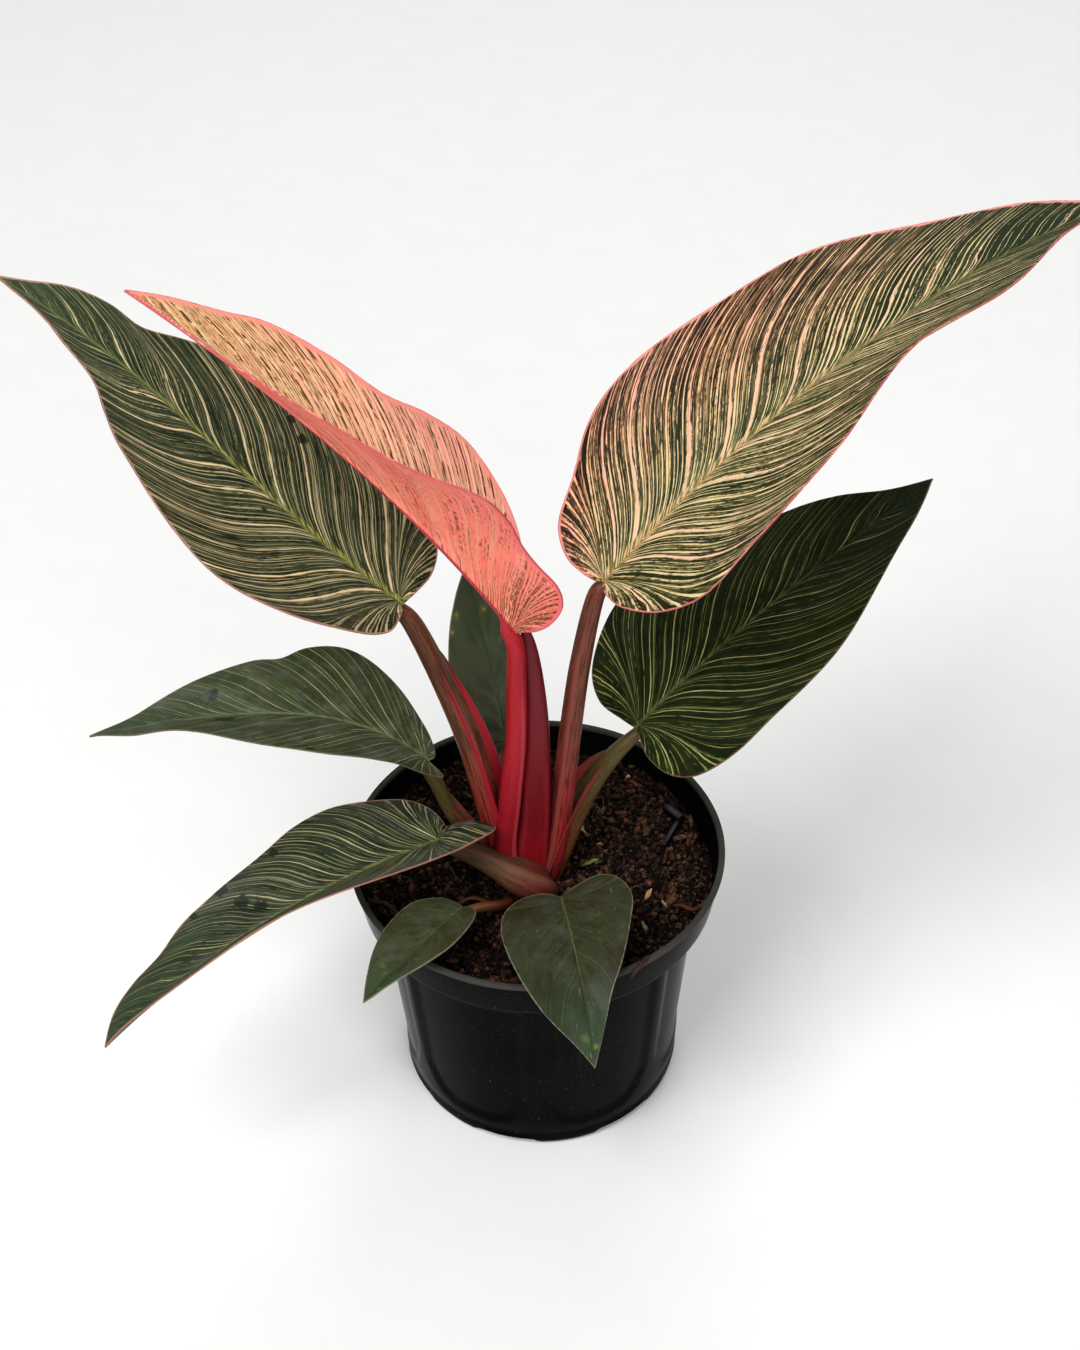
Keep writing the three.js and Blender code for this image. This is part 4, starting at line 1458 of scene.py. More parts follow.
        def drop(
            mesh: bpy.types.Mesh, size: Vector, at: Vector, turn: Euler, kind: Crumb, tone: float
        ) -> None:
            """Adds a lump to the mesh.

            Args:
                mesh: The lump.
                size: Its half sizes.
                at: Its middle.
                turn: How it lies.
                kind: What it is made of.
                tone: How pale it is, from 0 to 1.
            """
            first_face, first_vert = len(bm.faces), len(bm.verts)
            shape = Matrix.LocRotScale(at, turn, size)
            mesh.transform(shape)
            bm.from_mesh(mesh)
            mesh.transform(shape.inverted())
            bm.faces.ensure_lookup_table()
            bm.verts.ensure_lookup_table()
            for face in bm.faces[first_face:]:
                face.material_index = kind.value
            for vert in bm.verts[first_vert:]:
                # Painted light and shade: Relief rises from the lump's underside to its top, times its own
                # random tone
                vert[relief] = tone * (0.62 + 0.42 * (vert.co.z - at.z) / max(0.6, min(size)))

        def turned() -> Euler:
            """Draws any way to lie."""
            return Euler([rng.uniform(0, 2 * math.pi) for _ in range(3)])

        for _ in range(self.crumbs):
            radius = 0.35 + 1.1 * rng.random() ** 3.5
            size = Vector([radius * rng.uniform(0.6, 1.4) for _ in range(3)])
            tone = 0.45 + 0.6 * rng.random() ** 1.8
            drop(plain[rng.randrange(3)], size, spot(0.35 * radius), turned(), Crumb.PEAT, tone)
        for _ in range(self.chips):
            length = rng.uniform(1.2, 3.4)
            size = Vector((length, length * rng.uniform(0.25, 0.5), length * 0.22))
            turn = Euler((rng.gauss(0, 0.35), rng.gauss(0, 0.35), rng.uniform(0, 6.3)))
            kind = Crumb.BARK if rng.random() < 0.94 else Crumb.GRIT
            drop(fine[rng.randrange(3)], size, spot(0.5, length), turn, kind, rng.uniform(0.5, 0.9))
        for _ in range(self.fibres):
            size = Vector((rng.uniform(2, 6), 0.14, 0.14))
            turn = Euler((0, rng.gauss(0, 0.15), rng.uniform(0, 6.3)))
            mesh = plain[rng.randrange(3)]
            drop(mesh, size, spot(0.9, size.x), turn, Crumb.FIBRE, rng.uniform(0.3, 0.9))
        for bit in BITS:
            at = Vector((bit.x, bit.y, self.surface(bit.x, bit.y) + bit.rise))
            turn = Euler((0, -math.radians(bit.tilt), math.radians(bit.turn)))
            drop(fine[rng.randrange(3)], Vector(bit.size), at, turn, bit.kind, 1.0)
        settle(bm, "peat_crumbs", materials, sharp=60)


@dataclass
class DripPeg:
    """A small irrigation peg left on the peat: a shiny bar with a thin stick from its near end."""

    bar: Point = (8.6, 3.6, 3)
    turn: float = -53
    stick: Point = (15, 1.9, 1.7)
    stick_turn: float = -116
    place: Point = (49.2, 25.2, 91.1)

    def material(self) -> bpy.types.Material:
        """Makes dark grey polyethylene, worn shiny and dusted with peat in grains of 2 mm.

        Returns:
            The material.
        """
        graph = Graph("worn_polyethylene")
        place = graph.add("TexCoord", output="Object")
        dust = graph.add("TexNoise", None, {0: place, "Scale": 500, "Detail": 5})
        film = graph.add("MapRange", None, {0: dust, 1: 0.5, 2: 0.7, 4: 0.7})
        bump = graph.add("Bump", None, {"Height": dust, "Distance": 0.1 * MM, "Strength": 0.6})
        surface = {
            "Base Color": graph.layered(linear("07080a"), [(linear("160e0a"), film)]),
            "Roughness": 0.3,
            "Normal": bump,
            "Specular IOR Level": 0.1,
        }
        return graph.finish(surface)

    def build(self) -> None:
        """Builds the bar and its stick as bevelled blocks."""
        bm = bmesh.new()
        joint = Matrix.Rotation(math.radians(self.turn), 4, "Z")
        lean = Matrix.Rotation(math.radians(self.stick_turn), 4, "Z")
        start = joint @ Vector((self.bar[0] / 2 - 1, 0, 0))
        push = Matrix.Translation((self.stick[0] / 2, 0, -0.3))
        shapes = [
            joint @ Matrix.Diagonal((*self.bar, 1)),
            Matrix.Translation(start) @ lean @ push @ Matrix.Diagonal((*self.stick, 1)),
        ]
        for shape in shapes:
            bmesh.ops.create_cube(bm, size=1, matrix=shape)
        bmesh.ops.bevel(
            bm, geom=bm.edges[:], offset=0.4, affect="EDGES", segments=3, profile=0.5, material=-1
        )
        bmesh.ops.translate(bm, vec=self.place, verts=bm.verts)
        settle(bm, "drip_peg_dressed", [self.material()], ["drip_peg"], sharp=40)


@dataclass
class Studio:
    """The pale floor, the soft lights and the camera. Lengths are in metres."""

    camera_at: Point = (0.002408, -0.503847, 0.611307)
    tilt: float = 40.6  # how far the camera looks down
    roll: float = -1.3
    lens: float = 55.0
    sensor_height: float = 36
    floor_size: float = 8.0
    aim: Point = (0, 0, 0.12)  # the point of the plant that the lights shine at
    world_strength: float = 0.3

    def build(self) -> None:
        """Sets up everything round the plant."""
        self.build_floor()
        self.build_camera()
        self.light("key", (-0.8, -0.8, 1.9), 1.2, 36)
        self.light("fill", (0.7, -1.5, 1.1), 1.0, 13)
        self.light("back", (0.3, 1.4, 1.7), 1.0, 12)
        world = bpy.data.worlds.new("studio")
        world.use_nodes = True
        background = world.node_tree.nodes["Background"]
        background.inputs[0].default_value = linear("ffffff")
        background.inputs[1].default_value = self.world_strength
        bpy.context.scene.world = world
        bpy.context.scene.view_settings.view_transform = "Standard"

    def build_floor(self) -> None:
        """Lays a floor of pale matt paper, which takes soft shadows and no shine."""
        bm = bmesh.new()
        bmesh.ops.create_grid(bm, x_segments=1, y_segments=1, size=self.floor_size / 2)
        mesh = bpy.data.meshes.new("floor")
        bm.to_mesh(mesh)
        bm.free()
        graph = Graph("matt_paper")
        place = graph.add("TexCoord", output="Object")
        grain = graph.add("TexNoise", None, {0: place, "Scale": 40, "Detail": 3})
        colour = graph.layered(linear("f4f4f3"), [(linear("efefee"), grain)])
        mesh.materials.append(graph.finish({"Base Color": colour, "Roughness": 0.9}))
        floor = bpy.data.objects.new("floor", mesh)
        bpy.context.scene.collection.objects.link(floor)

    def build_camera(self) -> None:
        """Places the camera at the photograph's angle."""
        tilt, roll = math.radians(self.tilt), math.radians(self.roll)
        forward = Vector((0, math.cos(tilt), -math.sin(tilt)))
        right = Vector((1, 0, 0))
        up = right.cross(forward)
        x = right * math.cos(roll) + up * math.sin(roll)
        y = up * math.cos(roll) - right * math.sin(roll)
        turn = Matrix((x, y, -forward)).transposed().to_4x4()
        data = bpy.data.cameras.new("camera")
        data.sensor_fit = "VERTICAL"
        data.sensor_height = self.sensor_height
        data.lens = self.lens
        camera = bpy.data.objects.new("camera", data)
        camera.matrix_world = Matrix.Translation(self.camera_at) @ turn
        bpy.context.scene.collection.objects.link(camera)
        bpy.context.scene.camera = camera

    def light(self, name: str, at: Point, size: float, power: float) -> None:
        """Hangs a square soft light that shines at the plant.

        Args:
            name: Name of the light.
            at: Where it hangs.
            size: Its side.
            power: Its power in watts.
        """
        data = bpy.data.lights.new(name, "AREA")
        data.size = size
        data.energy = power
        lamp = bpy.data.objects.new(name, data)
        lamp.location = at
        lamp.rotation_euler = (Vector(self.aim) - Vector(at)).to_track_quat("-Z", "Y").to_euler()
        bpy.context.scene.collection.objects.link(lamp)


STRIPED = LeafSkin(
    ground="1a240d",
    patch="353b18",
    patch_share=0.45,
    blush="2a130a",
    blush_share=0.9,
    tip="26321f",
    tip_share=0.75,
    strokes=(
        Stroke(
            "6f7140", "a0684a", 2.1, 1.2, soft=0.8, cover=0.7, broken=0.35, dash=9, strength=0.4,
            last=1.2, fade=0.9, until=0.7, seed=3.1,
        ),
        Stroke(
            "a69c66", "c88c64", 0.8, 0.2, scatter=0.7, broken=0.3, dash=6, cover=0.85,
            strength=0.85, fade=0.9, until=0.68, seed=1.7,
        ),
        Stroke("dcca94", "ecae88", 1.5, 0.42, scatter=0.6, broken=0.1, fade=0.75, seed=11.3),
        Stroke(
            "1a2210", "180a05", 0.8, 0.27, scatter=0.8, broken=0.48, dash=3.2, cover=0.85,
            strength=0.85, fade=0, seed=6.6,
        ),
        Stroke(
            "1c0e06", "140704", 0.95, 0.46, scatter=0.8, broken=0.32, dash=5, cover=0.95,
            first=0.72, strength=0.92, fade=0.3, until=0.75, seed=2.9,
        ),
        Stroke(
            "eec4a2", "f6a48e", 10.5, 0.88, soft=0.45, scatter=0.7, spread=0.35, wander=0.5,
            taper=0.55, cover=0.85, last=1.0, strength=0.95, fade=0.6, seed=0.0,
        ),
    ),
    rib="5a5c22",
    rib_streak="dab484",
    rib_tip="4e5c2a",
    rib_width=3.8,
    margin="e08c80",
    margin_widths=(0.85, 0.45),
    rim="a8484e",
    roughness=0.5,
    shine=0.14,
    lopsided=0.9,
)
STRIPED_UNDER = replace(
    STRIPED,
    ground="6a6a50",
    patch="8a7460",
    blush="9a6656",
    strokes=(Stroke("b09a80", "c08a78", 2.4, 1.1, soft=0.9, strength=0.6),),
    rib="b8756a",
    rib_streak="8d4a44",
    rib_tip="9a6a54",
    roughness=0.55,
)
GREEN = LeafSkin(
    ground="162010",
    patch="2d3624",
    patch_share=0.55,
    blush="1d2114",
    blush_share=0.3,
    tip="36432f",
    tip_share=0.6,
    strokes=(
        Stroke(
            "4b5538", "50543a", 2.2, 1.2, soft=0.9, cover=0.6, broken=0.3, dash=9, strength=0.3,
            fade=0.8, seed=2.2,
        ),
        Stroke(
            "6e724a", "76744e", 0.75, 0.15, scatter=0.7, broken=0.35, dash=6, cover=0.8,
            strength=0.7, fade=0.6, seed=3.9,
        ),
        Stroke(
            "969468", "9c966c", 1.4, 0.26, scatter=0.6, broken=0.14, cover=0.95, fade=0.6,
            strength=0.9, seed=8.4,
        ),
        Stroke(
            "12190b", "10160a", 0.9, 0.24, scatter=0.8, broken=0.5, dash=3.5, cover=0.8,
            strength=0.7, fade=0, seed=6.1,
        ),
        Stroke("b0a87a", "b6a67e", 3.4, 0.3, broken=0.05, cover=0.75, fade=0.6, seed=4.9),
        Stroke(
            "d8c898", "dabe92", 10.0, 0.6, scatter=0.6, taper=0.5, cover=0.85, last=1.1, fade=0.6,
            seed=0.0,
        ),
    ),
    rib="3e4618",
    rib_streak="949452",
    rib_tip="5c6c3a",
    rib_width=3.0,
    margin="b8907c",
    margin_widths=(0.5, 0.5),
    rim="8d5f55",
    shine=0.15,
    spots=(
        Spot(118, -29, 1.1, "10160a"),
        Spot(106, -38, 1.3, "10160a"),
        Spot(63, -29, 1.6, "0e140a"),
        Spot(56, -26, 1.9, "0e140a"),
        Spot(52, 7, 1.2, "10160a"),
    ),
)
GREEN_UNDER = replace(
    GREEN,
    ground="5c6a4c",
    patch="6b7458",
    blush="5c6048",
    strokes=(
        Stroke("7c8a62", "8a8a66", 2.4, 0.9, soft=0.9, strength=0.5),
        Stroke("98a078", "a8a480", 2.2, 0.4, soft=0.6, cover=0.8, strength=0.8, seed=8.4),
    ),
    rib="94705a",
    rib_streak="7a4a3e",
    rib_tip="7c6a50",
    spots=(),
    roughness=0.55,
)
ARCHED = replace(
    GREEN,
    ground="182112",
    patch="2a3222",
    strokes=(
        Stroke("3e472c", "444a30", 2.6, 1.4, soft=0.9, cover=0.5, strength=0.35, fade=0.6, seed=2.2),
        Stroke("5a6240", "606444", 1.0, 0.2, scatter=0.6, broken=0.4, cover=0.7, strength=0.65, seed=3.9),
        Stroke(
            "868a5e", "868460", 1.5, 0.24, scatter=0.6, broken=0.2, cover=0.9, last=1.2, fade=0.7,
            strength=0.9, seed=8.4,
        ),
        Stroke(
            "c0b482", "bcaa7c", 4.4, 0.3, scatter=0.7, taper=0.6, cover=0.8, last=1.0, fade=0.75,
            seed=0.0,
        ),
    ),
    rib="3a4420",
    rib_streak="7c8450",
    rib_width=2.0,
    margin="a47462",
    margin_widths=(0.4, 0.35),
    spots=(
        Spot(64, -6, 2.2, "10180b"),
        Spot(69, -11, 2.6, "10180b"),
        Spot(73, -19, 2.4, "10180b"),
        Spot(52, -21, 1.6, "10180b"),
        Spot(85, -17, 1.4, "10180b"),
    ),
)
SPARSE = replace(
    GREEN,
    ground="111a04",
    patch="1a2307",
    tip="131b0a",
    strokes=(
        Stroke("2c3814", "303a18", 2.6, 1.2, soft=0.9, cover=0.5, strength=0.3, fade=0.6, seed=2.2),
        Stroke(
            "505c2c", "58642f", 1.3, 0.15, broken=0.4, dash=8, cover=0.75, strength=0.6, fade=0.8,
            seed=6.1,
        ),
        Stroke(
            "868c4e", "84884a", 2.2, 0.2, broken=0.25, dash=16, cover=0.85, strength=0.8, fade=0.8,
            seed=3.3,
        ),
        Stroke(
            "b4b074", "a6a266", 7.2, 0.3, scatter=0.5, taper=0.5, cover=0.8, last=1.2, fade=0.7,
            seed=1.0,
        ),
    ),
    rib="303a14",
    rib_streak="5c6630",
    rib_tip="26311a",
    rib_width=1.7,
    margin="7c6450",
    margin_widths=(0.3, 0.3),
    rim="5e463a",
    shine=0.1,
    scuffs=0.2,
    spots=(),
)
FAINT = replace(
    GREEN,
    ground="303720",
    patch="3c422b",
    blush="31371d",
    tip="3a4430",
    strokes=(
        Stroke("505a36", "545c3a", 1.6, 0.3, broken=0.4, cover=0.7, strength=0.6, seed=2.2),
        Stroke(
            "868c5e", "80885a", 2.4, 0.2, scatter=0.8, broken=0.3, dash=18, cover=0.6, last=1.1,
            strength=0.8, fade=0.9, seed=6.2,
        ),
        Stroke(
            "a0a274", "969a6c", 5.2, 0.26, scatter=0.7, broken=0.12, dash=20, taper=0.5, cover=0.8,
            last=1.1, fade=0.7, seed=1.0,
        ),
    ),
    rib="465232",
    rib_streak="68744c",
    rib_tip="46523a",
    rib_width=1.5,
    margin="6f6a50",
    margin_widths=(0.25, 0.25),
    rim="5c5644",
    bloom=0.1,
    spots=(
        Spot(75, -8, 2.0, "10180a"),
        Spot(69, 5, 2.6, "10180a"),
        Spot(72, 4, 1.6, "10180a"),
        Spot(42, 24.5, 1.2, "10180a"),
    ),
)
PINK = LeafSkin(
    ground="f9b494",
    patch="f9c494",
    patch_share=0.45,
    blush="f39484",
    blush_share=0.8,
    tip="c89a5c",
    tip_share=0.6,
    strokes=(
        Stroke(
            "fde0b0", "fdc4a4", 1.9, 0.8, soft=0.8, cover=0.7, strength=0.7, last=1.0, fade=0,
            seed=5.0,
        ),
        Stroke(
            "c4985a", "b87c54", 1.5, 0.3, broken=0.3, dash=16, cover=0.8, last=0.8, strength=0.7,
            fade=-0.4, seed=3.0,
        ),
        Stroke(
            "8a6030", "7e4c30", 1.1, 0.28, broken=0.4, dash=8, soft=0.3, cover=0.85, last=1.2,
            strength=0.85, fade=-0.4, seed=8.0,
        ),
        Stroke(
            "5e4424", "4e2c1c", 1.7, 0.46, broken=0.44, dash=8, soft=0.25, cover=0.9, first=0.15,
            last=1.2, fade=-0.2, patchy=0.12, seed=2.0,
        ),
    ),
    rib="d8866c",
    rib_streak="dcae74",
    rib_tip="8c7c44",
    rib_width=1.6,
    margin="f69484",
    margin_widths=(1.0, 1.9),
    rim="b4384c",
    roughness=0.46,
    shine=0.16,
)
PINK_UNDER = replace(
    PINK,
    ground="ff8c76",
    patch="fd7e6c",
    blush="ff8276",
    tip="f6666a",
    tip_share=0.85,
    strokes=(
        Stroke("ffa88a", "ffa08c", 2.6, 1.2, soft=0.9, cover=0.6, strength=0.6, last=1.1, seed=5.0),
        Stroke(
            "b87656", "c86a58", 0.75, 0.24, broken=0.46, dash=3, cover=0.85, last=0.9,
            strength=0.7, patchy=0.4, until=0.45, seed=4.0,
        ),
        Stroke(
            "8a4c34", "8c4030", 1.3, 0.4, broken=0.5, dash=3.5, soft=0.25, cover=0.95, last=0.9,
            strength=0.95, patchy=0.45, until=0.6, seed=9.0,
        ),
        Stroke(
            "c86a50", "c86450", 1.6, 1.0, broken=0.2, dash=6, soft=0.8, cover=0.8, last=1.15,
            strength=0.6, fade=0, until=0.0, seed=1.0,
        ),
        Stroke(
            "74461f", "703a20", 0.9, 0.48, broken=0.28, dash=4, soft=0.25, cover=0.95, last=1.15,
            strength=0.95, fade=0, until=0.05, seed=7.0,
        ),
    ),
    rib="96203a",
    rib_streak="b83248",
    rib_tip="c0404c",
    rib_width=1.4,
    margin="f07472",
    margin_widths=(1.3, 0.6),
)
PLAIN = replace(
    SPARSE,
    ground="2a2a17",
    patch="303620",
    patch_share=0.6,
    blush="2c2c18",
    tip="2a3c25",
    tip_share=0.9,
    strokes=(
        Stroke("4a5536", "535c40", 1.4, 0.4, broken=0.5, cover=0.7, strength=0.16, seed=2.2),
        Stroke("6c7552", "606a4a", 5.0, 0.24, broken=0.55, dash=8, cover=0.6, strength=0.22, seed=1.0),
    ),
    rib="3a4022",
    rib_streak="565c30",
    rib_tip="2e3e28",
    rib_width=0.9,
    margin="8c8468",
    margin_widths=(0.2, 0.2),
    rim="6c6850",
    bloom=0.04,
    scuffs=0.5,
    shine=0.16,
    spots=(
        Spot(55, -2, 1.8, "66742f", 0.6, 0.7),
        Spot(58, 1, 1.3, "7c8a3a", 0.55, 0.6),
    ),
)
SPOTTED = replace(
    PLAIN,
    ground="444e34",
    patch="515b42",
    tip="48533a",
    spots=(
        Spot(53, 9, 2.5, "84843a", 0.6, 0.7),
        Spot(49, 13, 2.2, "84843a", 0.6, 0.7),
        Spot(50, -3, 2.2, "84843a", 0.6, 0.7),
        Spot(37, -7, 1.5, "84803a", 0.6, 0.6),
        Spot(53.5, 9, 0.9, "b08c48", 0.8, 0.5),
        Spot(48.5, 12.6, 0.8, "b08c48", 0.8, 0.5),
        Spot(50, -3, 0.8, "b08c48", 0.8, 0.5),
    ),
)
WEATHERED = replace(
    PLAIN,
    ground="353720",
    patch="404630",
    blush="3a3a22",
    tip="34462c",
    spots=(
        Spot(30, 5, 1.4, "566436", 0.6, 0.6),
        Spot(38, -4, 1.2, "5c6c34", 0.6, 0.6),
        Spot(46, 1, 1.0, "66763a", 0.6, 0.6),
    ),
)

CRIMSON_SKIN = StalkSkin("80101a", "a01622", "ac2434", "800e18", 0.4, "b03440")
DARK_CRIMSON_SKIN = StalkSkin("840f18", "6a0c16", "641420", "4a0a12", 0.4, "801822")
RUSSET_SKIN = StalkSkin("96222a", "6c3828", "7a4638", "3a1a12", 0.65, "7c3a32")
BROWN_SKIN = StalkSkin("9a1e28", "643824", "4e3a24", "2e1c0e", 0.65, "aa2030")
OLIVE_SKIN = StalkSkin("6a3820", "524424", "50532c", "342a14", 0.5, "8e3830")
CLASPING_SKIN = StalkSkin("6e2420", "56402a", "55502f", "342216", 0.55, "68402e", 0.58)
BARK_SKIN = StalkSkin("2c1a12", "342016", "2c1a12", "140a06", 0.6, "342016", 0.7)
ROOT_SKIN = StalkSkin("452414", "54301c", "4a2a18", "1e0f08", 0.6, "54301c", 0.6)

LEAVES = (
    Leaf(
        Blade(
            "large_right",
            (23, 7, 212),
            22,
            (44, 29, 10),
            200,
            Waves(3.5, 1.6, 20),
            Half(
                (20, 18, 21),
                ((-3.5, 7), (-3.5, 16), (2, 26), (14, 34), (30, 44), (50, 47), (78, 46), (105, 41),
                 (130, 32), (155, 22), (180, 10)),
            ),
            Half(
                (3, 23, 22),
                ((-2, 6), (0, 16), (8, 29), (22, 40), (40, 47), (58, 50), (77, 45), (97, 36.5), (117, 30),
                 (134, 29), (151, 23), (170, 14), (185, 7)),
            ),
            STRIPED,
            STRIPED_UNDER,
        ),
        ((1, -2, 84, 9), (6, -1.5, 101, 9), (9.5, 0.5, 129, 8.6), (12, 2.5, 152, 8), (15.5, 4.5, 180, 7.4),
         (20.5, 6.3, 206, 6.2), (23.5, 7.2, 213, 5)),
        RUSSET_SKIN,
    ),
    Leaf(
        Blade(
            "large_left",
            (-42, 14, 200),
            160,
            (34, 42, 27),
            160,
            Waves(3, 1.8, 200),
            Half(
                (9, 0, 16),
                ((-3, 7), (-2, 16), (8, 28), (22, 37), (40, 40), (60, 40), (80, 37), (97, 29), (108, 20),
                 (117, 13), (132, 10.5), (148, 4)),
            ),
            Half(
                (9, 6, 18),
                ((-3, 7), (-4, 18), (0, 28), (12, 37), (30, 41), (50, 41), (72, 38), (92, 31), (106, 24),
                 (117, 17), (128, 15), (141, 10), (152, 4)),
            ),
            GREEN,
            GREEN_UNDER,
        ),
        ((-7, -1, 84, 10), (-11.5, -1, 102, 10.4), (-15, 0.5, 119, 10.4), (-21.5, 5, 147, 9.6),
         (-29.5, 9, 170, 8), (-38, 12.6, 191, 7), (-41.6, 13.9, 199.2, 5.6)),
        BROWN_SKIN,
        channel=0.6,
        wing=0.6,
        wing_end=0.44,
    ),
    Leaf(
        Blade(
            "newest",
            (-5, 2, 198),
            172,
            (57, 46, 37),
            160,
            Waves(2, 1, 0),
            Half(
                (68, 65, 46, 37, 44),
                ((-3, 6), (-1.5, 14), (4, 23.5), (12, 28.5), (22, 28.8), (31, 31), (42, 37.5), (56, 42),
                 (70, 36), (85, 29), (100, 26), (120, 21), (140, 12)),
            ),
            Half(
                (14, 14, 14),
                ((-2, 4), (-1.5, 9), (3, 15.5), (9, 22), (17, 30), (29, 37), (46, 41), (62, 37),
                 (79, 29), (100, 26), (120, 22), (132, 16), (146, 9)),
            ),
            PINK,
            PINK_UNDER,
            sweep=0.2,
        ),
        ((-4.4, -5, 84, 9.4), (-10.2, -4.5, 105, 10), (-8, -3, 130, 9.2), (-5.8, -1, 152, 8.2),
         (-5.3, 0.5, 172, 7.4), (-5.2, 1.5, 190, 6.6), (-5.4, 2.1, 199, 5.6)),
        CRIMSON_SKIN,
        run_on=((0.02, 0.5), (0.05, 0.2), (0.08, 0.1)),
    ),
    Leaf(
        Blade(
            "lower_right",
            (35, 12, 146),
            24,
            (41, 30, 28),
            128,
            Waves(2.5, 1.2, 90),
            Half(
                (12, 5, 8),
                ((-3, 6), (-5, 17), (-1, 28), (10, 37), (24, 42), (42, 41), (64, 35), (84, 27), (100, 18),
                 (114, 8)),
            ),
            Half(
                (13, 3, 7),
                ((-2, 7), (-3, 18), (0, 31), (8, 41), (22, 45), (38, 42), (56, 37), (74, 31), (92, 23),
                 (108, 14), (120, 6)),
            ),
            SPARSE,
            GREEN_UNDER,
        ),
        ((3, 0, 84, 8.4), (8.5, 0.8, 101, 9), (14, 4.4, 115, 9), (20, 7.4, 126, 8), (28, 10, 136, 6),
         (35, 12.2, 145.6, 4.6)),
        OLIVE_SKIN,
        wing=1.1,
        wing_end=0.42,
    ),
    Leaf(
        Blade(
            "middle_left",
            (-36, 0, 144),
            180,
            (48, 0, -13),
            117,
            Waves(2.5, 1.4, 150),
            Half(
                (10, 20, 22),
                ((-8, 3), (-3, 6), (9, 12), (23, 22), (36, 27), (50, 24), (65, 20), (78, 15), (92, 8),
                 (105, 3)),
            ),
            Half(
                (15, 18, 18),
                ((-3, 4), (2, 11), (10, 17), (20, 22), (34, 27), (46, 26), (54, 22), (63, 21), (78, 15),
                 (90, 10), (105, 4)),
            ),
            FAINT,
            GREEN_UNDER,
            sweep=0.2,
        ),
        ((-7, 1, 86, 6.6), (-17, 0.5, 97.5, 6.6), (-24.5, 1.4, 108.5, 6.2), (-30, 1.4, 121, 5.6),
         (-34, 0.6, 134, 5.2), (-36.1, 0, 143.6, 4.6)),
        OLIVE_SKIN,
        wing=0.8,
        wing_end=0.36,
    ),
    Leaf(
        Blade(
            "lower_left",
            (-33, -6, 112),
            205,
            (0, -18, -38),
            134,
            Waves(2, 1, 60),
            Half(
                (36, 40, 44, 48, 52),
                ((-9, 3.2), (-16, 9), (-14, 18), (-2, 22), (14, 26), (30, 28), (44, 27), (60, 22), (78, 18),
                 (95, 14), (112, 9), (125, 4)),
            ),
            Half(
                (12, 14, 12),
                ((-4, 4), (-2, 12), (4, 19), (14, 24), (28, 28), (42, 27), (58, 22), (76, 19), (90, 17),
                 (102, 13), (114, 11), (125, 7)),
            ),
            ARCHED,
            GREEN_UNDER,
            crown=4.0,
        ),
        ((1, -6, 84, 12), (0, -11.5, 94, 14.5), (-6, -12.5, 99.5, 14), (-14, -10.5, 103.6, 10.5),
         (-23, -8, 107.3, 8), (-33, -6, 111.8, 5.5)),
        CLASPING_SKIN,
    ),
    Leaf(
        Blade(
            "small_left",
            (-26, -29, 102),
            235,
            (10, 3, 2),
            53,
            Waves(1.5, 0.5, 0),
            Half((18, 26, 18), ((-2, 3), (2, 8), (10, 11), (21, 12), (32, 9), (43, 4))),
            Half((10, 14, 12), ((-1, 3), (2, 8), (11, 13), (24, 13), (35, 10), (45, 5))),
            WEATHERED,
            GREEN_UNDER,
            columns=(20, 70),
            rows=16,
        ),
        ((-8, -11, 86, 3.6), (-13, -21, 94.5, 3.6), (-20, -26.5, 99.5, 3.4), (-26, -29, 102, 3)),
        OLIVE_SKIN,
    ),
    Leaf(
        Blade(
            "small_front",
            (8, -27.6, 104),
            279,
            (7, -10, -60),
            65,
            Waves(1.5, 0.7, 120),
            Half((15, 15, 10), ((-4, 6), (-6, 14), (-2, 20), (8, 23), (20, 20), (32, 15), (44, 8))),
            Half((15, 15, 10), ((-2, 6), (1, 14), (8, 21), (19, 24), (32, 22), (44, 16), (56, 6))),
            PLAIN,
            GREEN_UNDER,
            columns=(24, 80),
            rows=20,
        ),
        ((1, -20, 84, 3.6), (2, -21.8, 94, 3.6), (4.6, -24.8, 101, 3.4), (7.6, -27.4, 103.9, 2.8)),
        RUSSET_SKIN,
    ),
    Leaf(
        Blade(
            "small_rear",
            (-10, 24, 129),
            125,
            (80, 70, 72),
            67,
            Waves(1.5, 0.6, 40),
            Half((12, 12, 12), ((-3, 5), (-4, 12), (5, 17), (18, 19), (34, 18), (48, 14), (58, 8))),
            Half((-12, -15, -8), ((-3, 4), (-3, 9), (5, 13), (18, 14), (34, 13), (48, 10), (58, 6))),
            SPOTTED,
            GREEN_UNDER,
            columns=(20, 80),
            rows=18,
        ),
        ((-6, 1, 84, 4.4), (-10.5, 7.5, 101, 4.4), (-11.3, 14, 113, 4.2), (-10.6, 20.5, 122, 3.8),
         (-10, 24.2, 129.5, 3.2)),
        OLIVE_SKIN,
    ),
)


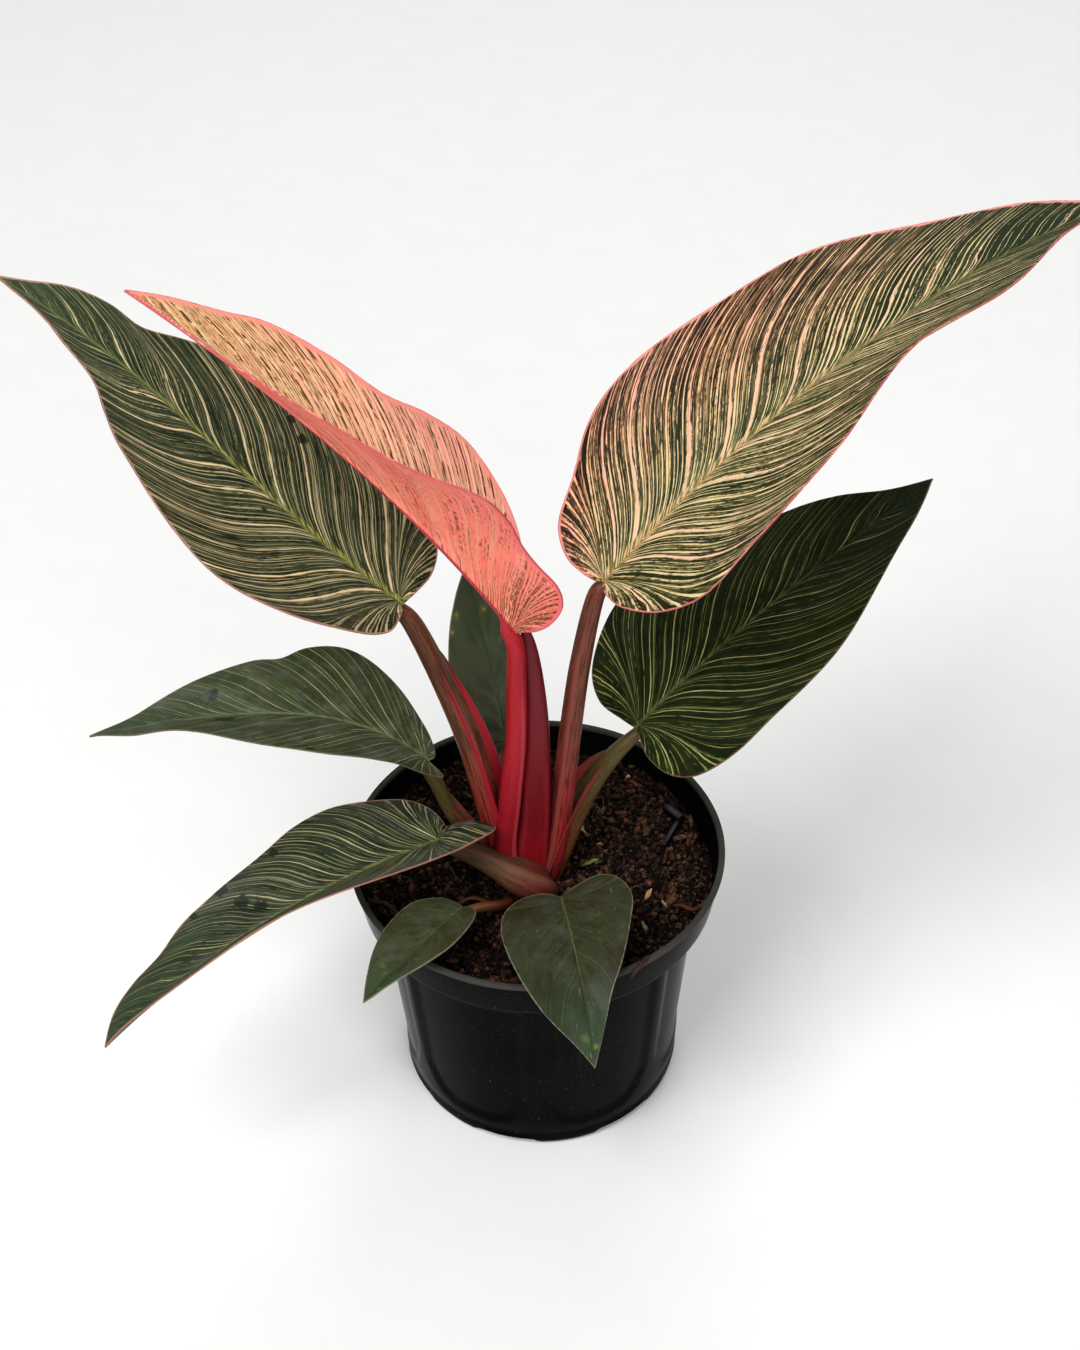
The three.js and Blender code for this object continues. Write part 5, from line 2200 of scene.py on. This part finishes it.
def loose(name: str, stations: tuple[Station, ...], heading: float, skin: StalkSkin) -> Stalk:
    """Describes a thin root or strip of bark that lies on the peat.

    Args:
        name: Name of the piece.
        stations: Its course and widths.
        heading: Compass direction from one end to the other.
        skin: Its skin.

    Returns:
        The piece, which stands for no node.
    """
    return Stalk(name, stations, heading, skin, None, "peat", sides=12, rings=30)


LOOSE_PIECES = (
    loose(
        "root_over_rim",
        ((46, -20, 91.5, 0.8), (49, -22, 93.4, 1.3), (52, -26, 95.6, 1.4), (54.5, -27.5, 98.6, 1.2),
         (57.5, -26.5, 101, 1.0), (60, -25, 102.2, 0.4)),
        -30,
        ROOT_SKIN,
    ),
    loose(
        "bark_on_rim",
        ((29.5, -60.6, 100.6, 0.4), (31.2, -58.6, 102.2, 1.4), (33.4, -55.8, 102.7, 1.9),
         (35.4, -52.6, 102.2, 1.3), (37.6, -51, 100.8, 0.4)),
        60,
        BARK_SKIN,
    ),
    loose(
        "root_left",
        ((-58.5, -13, 91.5, 0.6), (-57, -16, 92.6, 1.3), (-53, -17.5, 93.4, 1.5), (-49.5, -20, 92.8, 1.3),
         (-46, -23, 91, 0.8)),
        -30,
        ROOT_SKIN,
    ),
    loose(
        "root_by_small_leaf",
        ((-29.5, -20.5, 91.5, 0.7), (-26, -18.5, 94.2, 1.1), (-21.5, -17.6, 94.8, 1.4),
         (-16.5, -18.4, 93.2, 1.5), (-10, -17, 92, 1.2)),
        0,
        ROOT_SKIN,
    ),
)

NEW_LEAF_SHEATH = Stalk(
    "new_leaf_sheath",
    ((-1.6, -2, 84, 11.4), (-1.8, -3, 104, 12.2), (-0.4, -1.5, 120, 11), (0.7, 1, 148, 9.2),
     (0.6, 3.5, 167, 7.4), (-0.8, 5.5, 185, 5.4), (-2.5, 6.5, 196, 2)),
    97,
    DARK_CRIMSON_SKIN,
    "sheath_newest",
    "new_leaf_sheath",
    flat=0.75,
    channel=0.2,
)


def main() -> None:
    """Builds the plant, its pot and the studio."""
    logging.basicConfig(level=logging.INFO, format="%(message)s")
    Studio().build()
    pot = Pot()
    pot.build()
    Soil(pot).build()
    Crown().build()
    DripPeg().build()
    for leaf in LEAVES:
        leaf.build()
    NEW_LEAF_SHEATH.build()
    for piece in LOOSE_PIECES:
        piece.build()


if __name__ == "__main__":
    main()
